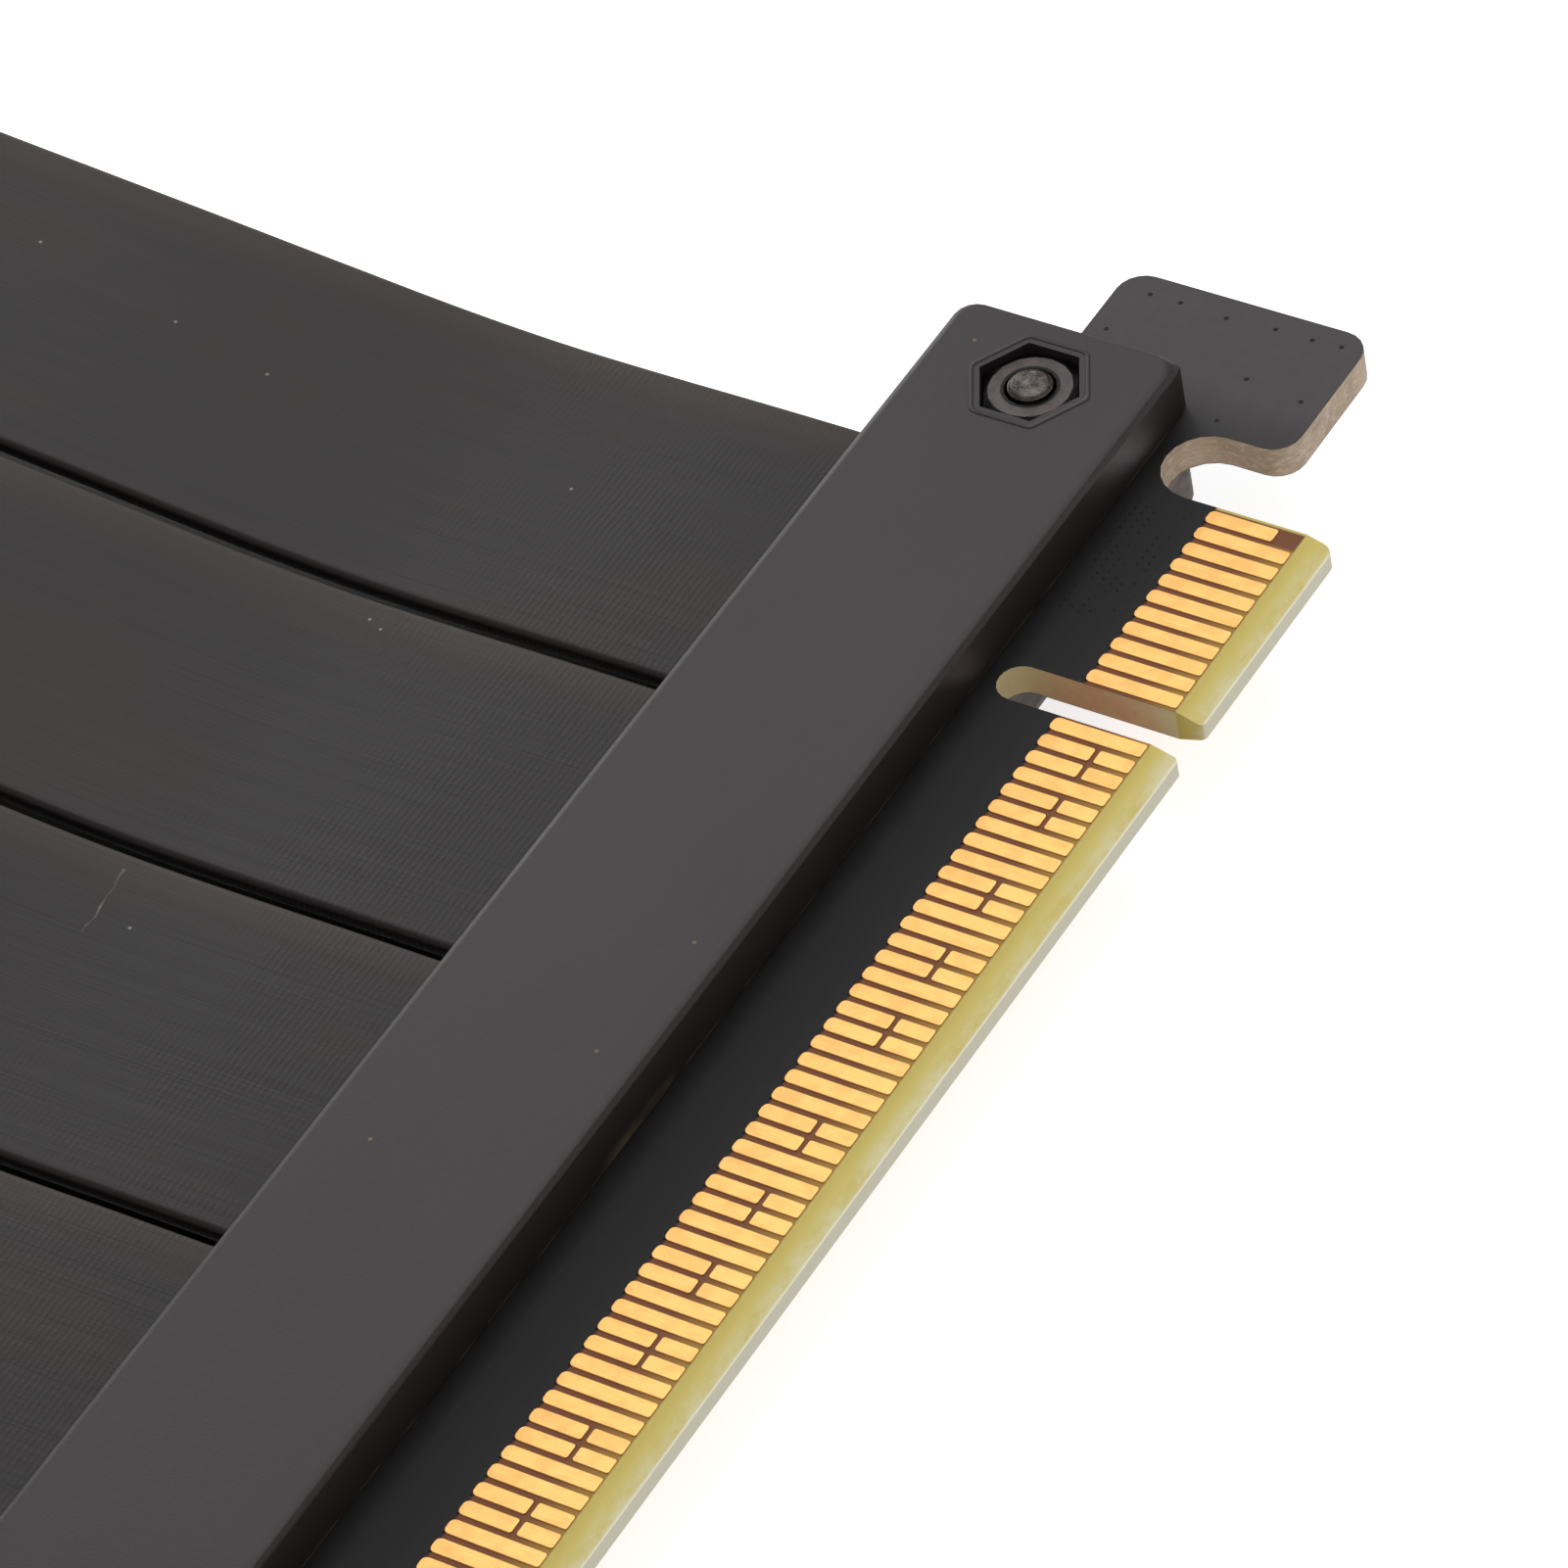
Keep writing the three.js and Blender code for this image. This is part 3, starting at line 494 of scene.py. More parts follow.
def board_finish(name, sizes, plug):
    """Circuit board: mask on its faces, layered laminate on its cut walls; the plug's has its bare contact
    zone, pale bevel, hook and small holes,
    and painted light and shade: the mask darker next to the housing, the hook lighter, the holes near black,
    the cut under the bevel near white"""
    f = Finish(name)
    point, x, y, z = f.place()
    middle = (BOARD_TOP + BOARD_BOTTOM) / 2
    half = (BOARD_TOP - BOARD_BOTTOM) / 2
    height = abs(z - middle)
    wall = height.rise(half - 0.015, half - 0.045)
    layers = f.noise(f.stretch(point, 0.6, 0.6, 9.0), 1.0, 4.0, 0.65)
    fibre = f.noise(f.stretch(point, 1.6, 1.6, 3.0), 1.6, 5.0, 0.7)
    cloud = f.noise(point, 0.55, 3.0, 0.6)
    cut = f.mix(scaled(sizes.laminate, 0.7), sizes.laminate, (0.35 * layers + 0.65 * cloud).rise(0.36, 0.62))
    cut = f.mix(cut, linear(240, 232, 220), 0.8 * fibre.rise(0.48, 0.7))
    cloth = f.noise(f.stretch(point, 3.0, 0.5, 1.0), 1.0, 3.0)
    cloth = cloth + f.noise(f.stretch(point, 0.5, 3.0, 1.0), 1.0, 3.0)
    mask = f.shade(sizes.mask, 0.7 + 0.2 * cloth + 0.2 * f.noise(point, 0.35, 3.0))
    if plug:
        edge = PLUG_X + CONTACT_EDGE
        dots = f.spots(x, y, HOOK_VIAS, VIA_RADIUS)
        row_x = (x / HOLE_PITCH_X).fraction() - 0.5
        row_y = (y / HOLE_PITCH_Y + x / 0.9).fraction() - 0.5
        pin_hole = (row_x * row_x + row_y * row_y) < 0.032
        zone = x.within(*HOLE_ZONE_X, 0.1) * y.within(*HOLE_ZONE_Y, 0.2)
        zone = zone * (f.noise(f.join(x / 1.2, y / 1.2, 2.0), 1.0, 1.0) > 0.47)
        hook = (y + 0.35 * x).rise(85.6, 88.6)
        # Painted shade: the mask is darker next to the housing, where its shadow falls, and lighter towards
        # the contacts
        mask = f.shade(mask, 0.98 + 0.3 * x.rise(109.0, 114.5))
        # The hook is painted as a lighter copy of the mask, a painted light where the housing casts no
        # shadow, and darker towards the housing, a painted shadow; the cloth weave varies it too
        cloth_and_painted_shade = (0.8 + 0.2 * cloth) * (0.6 + 0.4 * y.rise(48.0, 51.0))
        mask = f.mix(mask, f.shade(linear(74, 71, 72), cloth_and_painted_shade), hook)
        # The hook's holes and the small holes by the first contacts are painted near black: painted shade
        # standing in for the depth of the holes
        mask = f.mix(mask, linear(2, 2, 2), dots.most(zone * pin_hole))
        key_wall = y.within(*KEY_Y, 0.05) * x.rise(*KEY_X)
        brown = x.within(113.2, 118.4, 0.9) * (0.6 + 0.4 * cloud.rise(0.6, 0.4))
        cut = f.mix(cut, f.mix(linear(226, 212, 168), linear(226, 180, 138), brown), 0.85 * key_wall)
        inner = edge - PAD_SETBACK - PAD_LENGTH
        tab = y.within(*TAB_Y, 0.02)
        bare = x.rise(inner + 0.05, inner + 0.2) * tab
        depth = x.rise(edge - 3.4, edge - 1.2) * y.rise(PIN_1_Y - 0.4, PIN_1_Y - 0.6)
        under = f.mix(linear(124, 76, 46), linear(168, 130, 60), depth)
        under = f.mix(under, linear(206, 190, 110), y.rise(44.0, 44.1))
        mask = f.mix(mask, under, bare)
        haze = f.noise(f.stretch(point, 1.0, 0.4, 1.0), 1.1, 4.0, 0.6)
        outward = x.rise(edge - 1.0, edge)
        chalk = (0.3 * fibre + 0.7 * haze).rise(0.34, 0.64)
        slope = f.mix(sizes.bevel, linear(240, 234, 196), (0.12 + 0.7 * chalk) * outward)
        slope = f.mix(scaled(sizes.bevel, 0.9), slope, x.rise(edge - 1.3, edge - 0.7))
        bevelled = x.rise(edge - 1.3, edge - 1.2) * tab
        mask = f.mix(mask, slope, bevelled)
        # The cut face under the bevel takes the bevel's colour and goes near white at its front rim: partly
        # the pale fibre of the cut, partly painted light standing in for light shining through the laminate
        # onto this shaded face
        rim = x.rise(edge - 0.12, edge - 0.02)
        cut = f.mix(cut, f.mix(slope, linear(255, 250, 228), 0.95 * rim), bevelled)
    base = f.mix(mask, cut, wall)
    rough = 0.38 + 0.3 * wall + 0.08 * cloth
    relief = 0.6 * wall * layers + 0.1 * cloth + 0.25 * fibre * wall
    return f.finish(base, rough, relief, 0.00004, Specular_IOR_Level=0.18)


def gold_finish(name, colour):
    """Gold plating: warm metal with faint brushing along each contact and small stains"""
    f = Finish(name)
    point = f.place()[0]
    brush = f.noise(f.stretch(point, 0.8, 14.0, 1.0), 1.0, 3.0, 0.6)
    stain = f.noise(point, 0.9, 4.0, 0.6)
    base = f.mix(scaled(colour, 0.86), colour, stain.rise(0.35, 0.6))
    base = f.mix(base, linear(255, 216, 142), 0.4 * brush.rise(0.5, 0.75))
    pits = f.noise(point, 11.0, 2.0)
    return f.finish(base, 0.3 + 0.16 * stain, 0.6 * brush + 0.4 * pits, 0.000008, Metallic=0.85)


def metal_finish(name, colour, dark, rough, grit):
    """Small hardware: turned or blackened metal with grit, its dark colour mixed in by noise"""
    f = Finish(name)
    point = f.place()[0]
    coarse = f.noise(point, 1.7, 4.0, 0.7)
    fine = f.noise(point, 8.0, 4.0, 0.7)
    base = f.mix(dark, colour, (0.6 * coarse + 0.5 * fine).rise(0.38, 0.66))
    return f.finish(base, rough + 0.2 * fine, 0.5 * coarse + 0.5 * fine, grit, Metallic=0.9)


def nut_finish(name, face, black):
    """Blackened nut whose turned face is rubbed bare between the bore and the turned-off corners"""
    f = Finish(name)
    point, x, y, z = f.place()
    local_x = abs(x - (PLUG_X + SOCKET_X) / 2) - (CABLE_SPAN / 2 + SCREW_X)
    local_y = abs(y) - SCREW_Y
    reach = local_x * local_x + local_y * local_y
    bare = reach.within(1.62, 3.3, 0.12) * z.rise(NUT_FACE - 0.09, NUT_FACE - 0.05)
    coarse = f.noise(point, 2.2, 3.0, 0.6)
    fine = f.noise(point, 9.0, 3.0, 0.6)
    base = f.mix(black, f.mix(scaled(face, 0.75), face, coarse.rise(0.35, 0.6)), bare)
    return f.finish(base, 0.42 + 0.15 * fine, fine, 0.00001, Metallic=0.7)


# Surfaces


def mesh_piece(name, points, faces, finish, smooth=35.0):
    """An object at the origin with its place in its mesh; points are in metres"""
    mesh = bpy.data.meshes.new(name)
    mesh.from_pydata(np.asarray(points, float).tolist(), [], [list(map(int, face)) for face in faces])
    mesh.update()
    mesh.materials.append(finish)
    piece = bpy.data.objects.new(name, mesh)
    bpy.context.scene.collection.objects.link(piece)
    mesh.shade_smooth()
    mesh.set_sharp_from_angle(angle=math.radians(smooth))
    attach(piece, "root")
    return piece


def grid_faces(rows, columns):
    """Quads of a grid whose rows are rings: each joins a column and the next one of two neighbouring rows"""
    row = np.arange(rows - 1)[:, None] * columns
    column = np.arange(columns)[None, :]
    following = (column + 1) % columns
    corners = [row + column, row + following, row + columns + following, row + columns + column]
    return np.stack([c + 0 * row for c in corners], axis=-1).reshape(-1, 4)


def catmull_rom(points, samples):
    """Centripetal curve through the points: between two of them a cubic whose end slopes come from the
    neighbours' distances to the power one half, sampled evenly in each stretch"""
    points = np.asarray(points, float)
    ends = [2 * points[0] - points[1], 2 * points[-1] - points[-2]]
    knots = np.vstack([ends[0], points, ends[1]])
    before, start, finish, after = knots[:-3], knots[1:-2], knots[2:-1], knots[3:]
    gap = [np.linalg.norm(b - a, axis=1, keepdims=True) ** 0.5 for a, b in
           ((before, start), (start, finish), (finish, after))]
    middle = (finish - start) / gap[1]
    slope_a = ((start - before) / gap[0] - (finish - before) / (gap[0] + gap[1]) + middle) * gap[1]
    slope_b = (middle - (after - start) / (gap[1] + gap[2]) + (after - finish) / gap[2]) * gap[1]
    t = np.linspace(0, 1, samples, endpoint=False)[None, :, None]
    a, b, m, n = (v[:, None, :] for v in (start, finish, slope_a, slope_b))
    curve = (2 * t**3 - 3 * t**2 + 1) * a + (t**3 - 2 * t**2 + t) * m
    curve = curve + (3 * t**2 - 2 * t**3) * b + (t**3 - t**2) * n
    return np.vstack([curve.reshape(-1, points.shape[1]), points[-1:]])


def resample(line, count):
    """Points evenly spaced along a line, and their distance along it"""
    steps = np.linalg.norm(np.diff(line, axis=0), axis=1)
    along = np.concatenate([[0.0], np.cumsum(steps)])
    even = np.linspace(0.0, along[-1], count)
    return np.stack([np.interp(even, along, line[:, k]) for k in range(line.shape[1])], axis=1), even


def route_line(route):
    """Points of a layer's route in metres, as X and Z"""
    points = [(run, route["exit"] + rise) for run, rise in route["leaving"]]
    points += [(share * CABLE_SPAN, route["rest"] + rise) for share, rise in route["free"]]
    points += [(CABLE_SPAN - run, route["exit"] + rise) for run, rise in route["arriving"]]
    return np.array([(PLUG_X - run, height) for run, height in points]) * MM


def ribbon_section(sizes):
    """Section of a ribbon as (across, height): two faces that swell over each conductor by a cosine, joined
    by half-round edges"""
    half = sizes.width / 2
    edge = sizes.edge
    face = np.linspace(-half + edge, half - edge, FACE_POINTS)
    swell = sizes.ridge * (np.cos(2 * math.pi * sizes.conductors * (face / sizes.width + 0.5)) - 1.0)
    top = np.stack([face, sizes.thickness / 2 + swell], axis=1)
    turn = np.linspace(0.0, math.pi, EDGE_POINTS)[1:-1]
    flat = sizes.thickness / 2 - edge
    rise = np.sign(np.cos(turn)) * flat + edge * np.cos(turn)
    rounded = np.stack([half - edge + edge * np.sin(turn), rise], axis=1)
    bottom = np.stack([face[::-1], -top[::-1, 1]], axis=1)
    other = rounded[::-1] * (-1.0, 1.0)
    return np.vstack([top, rounded, bottom, other])


def ribbon_piece(name, node, route, place, sizes, finish, rng):
    """Ribbon: the section carried along the route, with its width along Y and its height along the route's
    normal; a slow seeded sway moves its free stretch a little sideways and up"""
    line, along = resample(catmull_rom(route_line(route), 24), RIBBON_ROWS)
    tangent = np.gradient(line, along, axis=0)
    tangent /= np.linalg.norm(tangent, axis=1, keepdims=True)
    normal = np.stack([tangent[:, 1], -tangent[:, 0]], axis=1)
    normal *= np.sign(normal[:, 1:2])
    section = ribbon_section(sizes)
    share = along / along[-1]
    free = np.sin(math.pi * share) ** 2
    phase = rng.uniform(0.0, 2.0 * math.pi, 3)
    sway = free * 0.00004 * np.sin(2 * math.pi * 1.5 * share + phase[0])
    wave = free * 0.00003 * np.sin(2 * math.pi * 5.0 * share + phase[1])
    across, height = section[:, 0], section[:, 1]
    x = line[:, None, 0] + normal[:, None, 0] * (height[None, :] + wave[:, None])
    z = line[:, None, 1] + normal[:, None, 1] * (height[None, :] + wave[:, None])
    y = place * MM + across[None, :] + sway[:, None]
    points = np.stack([x, y, z], axis=-1).reshape(-1, 3)
    rows, columns = len(line), len(section)
    faces = [list(face) for face in grid_faces(rows, columns)]
    faces.append(list(range(columns))[::-1])
    faces.append(list(range((rows - 1) * columns, rows * columns)))
    piece = mesh_piece(name, points, faces, finish)
    turn_out(piece)
    flow = np.stack([np.repeat(along - RIBBON_TAIL * MM, columns), np.tile(across, rows)], axis=1)
    layer = piece.data.uv_layers.new(name="flow")
    corners = np.empty(len(piece.data.loops), dtype=np.int32)
    piece.data.loops.foreach_get("vertex_index", corners)
    layer.data.foreach_set("uv", flow[corners].astype(np.float32).ravel())
    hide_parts(node)
    route["exit"] * MM
    return piece


def turn_out(piece):
    """Makes every face point outwards"""
    work = bmesh.new()
    work.from_mesh(piece.data)
    bmesh.ops.recalc_face_normals(work, faces=work.faces)
    work.to_mesh(piece.data)
    work.free()


def pin_place(pin):
    """Y of a pin's middle in millimetres; the key takes the room of two pins"""
    return PIN_1_Y - (pin - 1) - np.where(pin > PINS_BEFORE_KEY, KEY_PITCHES, 0)


def pad_spans(pairs, shorts):
    """Start, end and Y of each gold plate of one face; a split contact has two plates"""
    pins = np.arange(1, PIN_COUNT + 1)
    split = np.isin(pins, pairs) | np.isin(pins - 1, pairs)
    outer = CONTACT_EDGE - PAD_SETBACK
    inner = outer - PAD_LENGTH
    reach = np.where(np.isin(pins, shorts), CONTACT_EDGE - SHORT_SETBACK, outer)
    parting = outer - SPLIT_OUTER
    flat = np.ones(PIN_COUNT)
    place = pin_place(pins)
    whole = np.stack([inner * flat, reach, place], axis=1)[~split]
    first = np.stack([inner * flat, (parting - SPLIT_GAP) * flat, place], axis=1)[split]
    second = np.stack([parting * flat, outer * flat, place], axis=1)[split]
    return whole, first, second


def plate_outline(spans, width, inner, outer, grow):
    """Rounded outlines, one row a plate: quarter arcs of the inner radius at the low end and of the outer
    radius at the high end, all moved out by grow"""
    arcs = []
    corners = ((1, 1, outer), (0, 1, inner), (0, -1, inner), (1, -1, outer))
    for quarter, (end, side, radius) in enumerate(corners):
        turn = np.linspace(quarter * math.pi / 2, (quarter + 1) * math.pi / 2, 5)
        x = spans[:, end][:, None] + (1 - 2 * end) * radius + (radius + grow) * np.cos(turn)
        y = spans[:, 2][:, None] + side * (width / 2 - radius) + (radius + grow) * np.sin(turn)
        arcs.append(np.stack([x, y], axis=-1))
    return np.concatenate(arcs, axis=1)


def contact_plates(name, pairs, shorts, side, sizes, finish):
    """Gold of one face: each plate is a ring that rises from the board, turns in over a small round and
    ends in a flat top"""
    surface = BOARD_TOP if side > 0 else BOARD_BOTTOM
    width, inner, outer = sizes.width / MM, sizes.inner / MM, sizes.outer / MM
    top = PAD_HEIGHT + sizes.film / MM
    rings = [(0.012, -0.02), (0.012, top - 0.03), (-0.004, top - 0.008), (-0.03, top)]
    points, faces, count = [], [], 0
    for spans, low, high in zip(pad_spans(pairs, shorts), (inner, inner, outer), (outer, outer, outer)):
        levels = []
        for grow, height in rings:
            ring = plate_outline(spans, width, low, high, grow)
            z = np.full(ring.shape[:2], surface + side * height)
            levels.append(np.stack([PLUG_X + ring[..., 0], ring[..., 1], z], axis=-1))
        block = np.stack(levels, axis=1)
        plates, rows, columns = block.shape[:3]
        quads = grid_faces(rows, columns)
        offsets = count + np.arange(plates)[:, None, None] * rows * columns
        faces += list((quads[None] + offsets).reshape(-1, 4))
        ring = np.arange(columns)
        faces += list((ring[None, :] + (rows - 1) * columns + offsets[:, 0]))
        faces += list((ring[None, ::-1] + offsets[:, 0]))
        points.append(block.reshape(-1, 3))
        count += plates * rows * columns
    piece = mesh_piece(name, np.vstack(points) * MM, faces, finish)
    turn_out(piece)
    steady(piece)
    return piece


def hex_ring(flats, samples, corner):
    """Hexagon with rounded corners, its corners along X: straight sides moved in by the corner radius and
    arcs of that radius"""
    reach = (flats / 2 - corner) / math.cos(math.pi / 6)
    points = []
    for k in range(6):
        middle = k * math.pi / 3
        turn = middle + np.linspace(-math.pi / 6, math.pi / 6, samples)
        centre = reach * np.array([math.cos(middle), math.sin(middle)])
        points.append(centre + corner * np.stack([np.cos(turn), np.sin(turn)], axis=1))
    return np.vstack(points)


def pocket_rims(name, sizes, finish):
    """Raised rim round each nut pocket: a low arch carried round a rounded hexagon"""
    bead = np.linspace(0.0, math.pi, 9)
    rings = []
    for angle in bead:
        flats = sizes.rim_flats / MM + 2 * RIM_HALF_WIDTH * math.cos(angle)
        ring = hex_ring(flats, 6, RIM_CORNER + RIM_HALF_WIDTH)
        height = UPPER_TOP - RIM_ROOT + (sizes.rim_height / MM + RIM_ROOT) * math.sin(angle)
        rings.append(np.column_stack([ring, np.full(len(ring), height)]))
    block = np.stack(rings)
    rows, columns = block.shape[:2]
    quads = grid_faces(rows, columns)
    closing = np.stack([np.arange(columns), (rows - 1) * columns + np.arange(columns),
                        (rows - 1) * columns + (np.arange(columns) + 1) % columns,
                        (np.arange(columns) + 1) % columns], axis=1)
    quads = np.vstack([quads, closing])
    points = [block.reshape(-1, 3) + (x, y, 0.0) for x, y in HEXAGONS]
    faces = [quads + k * rows * columns for k in range(len(HEXAGONS))]
    piece = mesh_piece(name, np.vstack(points) * MM, np.vstack(faces), finish)
    turn_out(piece)
    return piece


def screw_tip(name, x, y, finish, rng):
    """Sheared end of a screw: a polar grid whose height is a shallow dome with seeded dents, and whose side
    is a thread, a helix of sixty-degree ridges"""
    turns = np.linspace(0.0, 2 * math.pi, 64, endpoint=False)
    radii = np.concatenate([np.linspace(0.02, 0.8, 14), [0.87, 0.92]])
    dents = rng.uniform(-1.0, 1.0, (6, 4))
    rise = np.zeros((len(radii), len(turns)))
    px = radii[:, None] * np.cos(turns)
    py = radii[:, None] * np.sin(turns)
    for dx, dy, size, depth in dents:
        reach = 0.2 + 0.1 * abs(size)
        rise += 0.07 * depth * np.exp(-((px - 0.6 * dx) ** 2 + (py - 0.6 * dy) ** 2) / reach**2)
    rise += 0.05 * (1 - (radii[:, None] / 0.95) ** 2)
    rise -= 0.09 * (radii[:, None] > 0.85) * (radii[:, None] - 0.8) / 0.12
    cap = np.stack([px, py, SCREW_END + 0.045 + rise], axis=-1)
    depth = np.linspace(0.06, 1.0, 26)
    thread = np.abs(((depth[:, None] / THREAD_PITCH + turns / (2 * math.pi)) % 1.0) - 0.5) * 2
    side_radius = THREAD_RADIUS + THREAD_DEPTH * (1 - thread)
    side = np.stack([side_radius * np.cos(turns), side_radius * np.sin(turns),
                     SCREW_END - depth[:, None] + 0 * turns], axis=-1)
    block = np.concatenate([cap, side])
    rows, columns = block.shape[:2]
    faces = [list(face) for face in grid_faces(rows, columns)]
    faces.append(list(range(columns)))
    faces.append(list(range((rows - 1) * columns, rows * columns)))
    piece = mesh_piece(name, (block.reshape(-1, 3) + (x, y, 0.0)) * MM, faces, finish, 50.0)
    turn_out(piece)
    return piece


def spring_contacts(name, finish):
    """Springs of the slot: for each pin and side a strip that runs down its cell, bows towards the card by
    a sine and turns out at its top; a rectangle carried along that line"""
    depth = np.linspace(SPRING_TOP, SPRING_BOTTOM, 12)
    share = np.clip((depth - SPRING_TOP) / (SPRING_BOTTOM - SPRING_TOP), 0, 1)
    bow = SPRING_FOOT - SPRING_BOW * np.sin(math.pi * share) ** 1.2
    half, thick = SPRING_HALF_WIDTH, SPRING_THICKNESS
    pins = np.arange(1, PIN_COUNT + 1)
    places = -pin_place(pins)
    corners = np.array([(0.0, -half), (0.0, half), (thick, half), (thick, -half)])
    strip = np.stack([bow[:, None] + corners[None, :, 0], 0 * bow[:, None] + corners[None, :, 1],
                      -depth[:, None] + 0 * corners[None, :, 0]], axis=-1).reshape(-1, 3)
    quads = grid_faces(len(depth), 4)
    caps = np.array([[3, 2, 1, 0], np.arange(len(strip) - 4, len(strip))])
    quads = np.vstack([quads, caps])
    both = np.stack([strip, strip * (-1, 1, 1)])
    moved = both[:, None] + np.stack([0 * places, places, 0 * places], 1)[None, :, None]
    points = moved.reshape(-1, 3)
    local_x, local_y, z = points[:, 0] + SLOT_MIDDLE, points[:, 1], points[:, 2] + SLOT_TOP
    world = np.stack([SOCKET_X - local_x, -local_y, z], axis=1)
    faces = (quads[None] + np.arange(2 * PIN_COUNT)[:, None, None] * len(strip)).reshape(-1, 4)
    piece = mesh_piece(name, world * MM, faces, finish)
    turn_out(piece)
    return piece


def turned_hexagons(points):
    """Turns what lies within the hexagons' reach of a screw's axis and above the board by a twelfth of a
    turn, so that the hexagons point along X"""
    points = points.copy()
    for x, y in HEXAGONS:
        offset = points[:, :2] / MM - (x, y)
        reach = np.hypot(*offset.T)
        ring = (reach > HEXAGON_REACH[0]) & (reach < HEXAGON_REACH[1])
        chosen = ring & (points[:, 2] > (BOARD_TOP + 0.1) * MM)
        cosine, sine = math.cos(math.pi / 6), math.sin(math.pi / 6)
        swung = offset @ np.array([(cosine, sine), (-sine, cosine)])
        points[chosen, :2] = (swung[chosen] + (x, y)) * MM
    return points


def squared_corners(points):
    """Makes the housing's front corners squarer between the board and its top edge: a point's offset from
    the corner's centre goes from a circle to a curve of the fifth power; the hexagons are turned first"""
    points = turned_hexagons(points)
    radius = HOUSING_CORNER
    low = (points[:, 2] < (UPPER_TOP - 0.2) * MM) & (points[:, 2] > BOARD_TOP * MM)
    for housing, way in ((PLUG_X, 1), (SOCKET_X, -1)):
        for side in (-1, 1):
            centre = (housing + way * (HOUSING_DEPTH - radius), side * (HOUSING_HALF - radius))
            offset = (points[:, :2] / MM - centre) * (way, side)
            reach = np.hypot(*offset.T)
            chosen = low & (offset > 0.001).all(axis=1) & (reach > 0.6 * radius) & (reach < 1.2 * radius)
            power = (np.clip(offset, 0, None) ** 5).sum(axis=1) ** 0.2
            pushed = offset * (reach / np.maximum(power, 0.01))[:, None]
            points[chosen, :2] = (pushed[chosen] * (way, side) + centre) * MM
    return points


def softened(node, edge, finish, segments=3, reshape=None):
    """Copy of a CAD node with its doubles merged, its flat triangles joined and its edges rounded, in the
    node's own place"""
    source = bpy.data.objects[node]
    mesh = source.data.copy()
    if reshape is not None:
        points = np.empty(3 * len(mesh.vertices))
        mesh.vertices.foreach_get("co", points)
        mesh.vertices.foreach_set("co", reshape(points.reshape(-1, 3)).ravel())
    work = bmesh.new()
    work.from_mesh(mesh)
    bmesh.ops.remove_doubles(work, verts=work.verts, dist=0.000002)
    bmesh.ops.dissolve_limit(work, angle_limit=math.radians(1.0), verts=work.verts, edges=work.edges)
    work.to_mesh(mesh)
    work.free()
    mesh.materials.clear()
    mesh.materials.append(finish)
    piece = bpy.data.objects.new(f"{node}_body", mesh)
    bpy.context.scene.collection.objects.link(piece)
    bevel = piece.modifiers.new("Rounded edges", "BEVEL")
    bevel.width = edge
    bevel.segments = segments
    bevel.limit_method = "ANGLE"
    bevel.angle_limit = math.radians(32.0)
    mesh.shade_smooth()
    mesh.set_sharp_from_angle(angle=math.radians(50.0))
    steady(piece)
    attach(piece, "root")
    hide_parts(node)
    return piece


def steady(piece):
    """Weights the normals by face area, so that flat faces shade flat beside their rounded edges"""
    weighted = piece.modifiers.new("Flat faces", "WEIGHTED_NORMAL")
    weighted.mode = "FACE_AREA"
    weighted.weight = 100
    weighted.keep_sharp = True


# Operators


class RISER_OT_ribbons(bpy.types.Operator):
    """Builds the two layers of flat ribbons"""
    bl_idname = "riser.ribbons"
    bl_label = "Ribbons"

    def execute(self, context):
        sizes = context.scene.riser_ribbons
        finish = jacket_finish(sizes.jacket)
        rng = np.random.default_rng(7)
        for layer, route in (("upper", UPPER_ROUTE), ("lower", LOWER_ROUTE)):
            for i, place in enumerate(RIBBON_PLACES, start=1):
                node = f"{layer}_ribbon_{i}"
                ribbon_piece(f"{layer}_jacket_{i}", node, route, place, sizes, finish, rng)
        return {"FINISHED"}


class RISER_OT_contacts(bpy.types.Operator):
    """Builds the gold contacts on both faces of the card edge"""
    bl_idname = "riser.contacts"
    bl_label = "Gold Contacts"

    def execute(self, context):
        sizes = context.scene.riser_contacts
        finish = gold_finish("contact_gold", sizes.gold)
        contact_plates("contacts_front", PAIRS_FRONT, SHORT_FRONT, 1, sizes, finish)
        contact_plates("contacts_back", PAIRS_BACK, SHORT_BACK, -1, sizes, finish)
        return {"FINISHED"}


class RISER_OT_housings(bpy.types.Operator):
    """Builds the four housing halves with rounded edges, and the rims round their nut pockets"""
    bl_idname = "riser.housings"
    bl_label = "Housings"

    def execute(self, context):
        sizes = context.scene.riser_housings
        finish = plastic_finish("housing_plastic", sizes.plastic)
        for end in ("plug", "socket"):
            for half in ("upper", "lower"):
                softened(f"{end}_{half}_shell", sizes.edge, finish, reshape=squared_corners)
        pocket_rims("pocket_rims", sizes, finish)
        return {"FINISHED"}


class RISER_OT_boards(bpy.types.Operator):
    """Builds the plug's card edge and the slot's board"""
    bl_idname = "riser.boards"
    bl_label = "Circuit Boards"

    def execute(self, context):
        sizes = context.scene.riser_boards
        for node, plug in (("plug_board", True), ("socket_board", False)):
            finish = board_finish(f"{node}_laminate", sizes, plug)
            softened(node, sizes.edge, finish, 2)
        return {"FINISHED"}


class RISER_OT_slot(bpy.types.Operator):
    """Builds the card slot and its spring contacts"""
    bl_idname = "riser.slot"
    bl_label = "Card Slot"

    def execute(self, context):
        softened("card_slot", 0.00008, plastic_finish("slot_plastic", linear(40, 38, 38)), 2)
        spring_contacts("slot_springs", gold_finish("spring_gold", linear(236, 190, 112)))
        return {"FINISHED"}


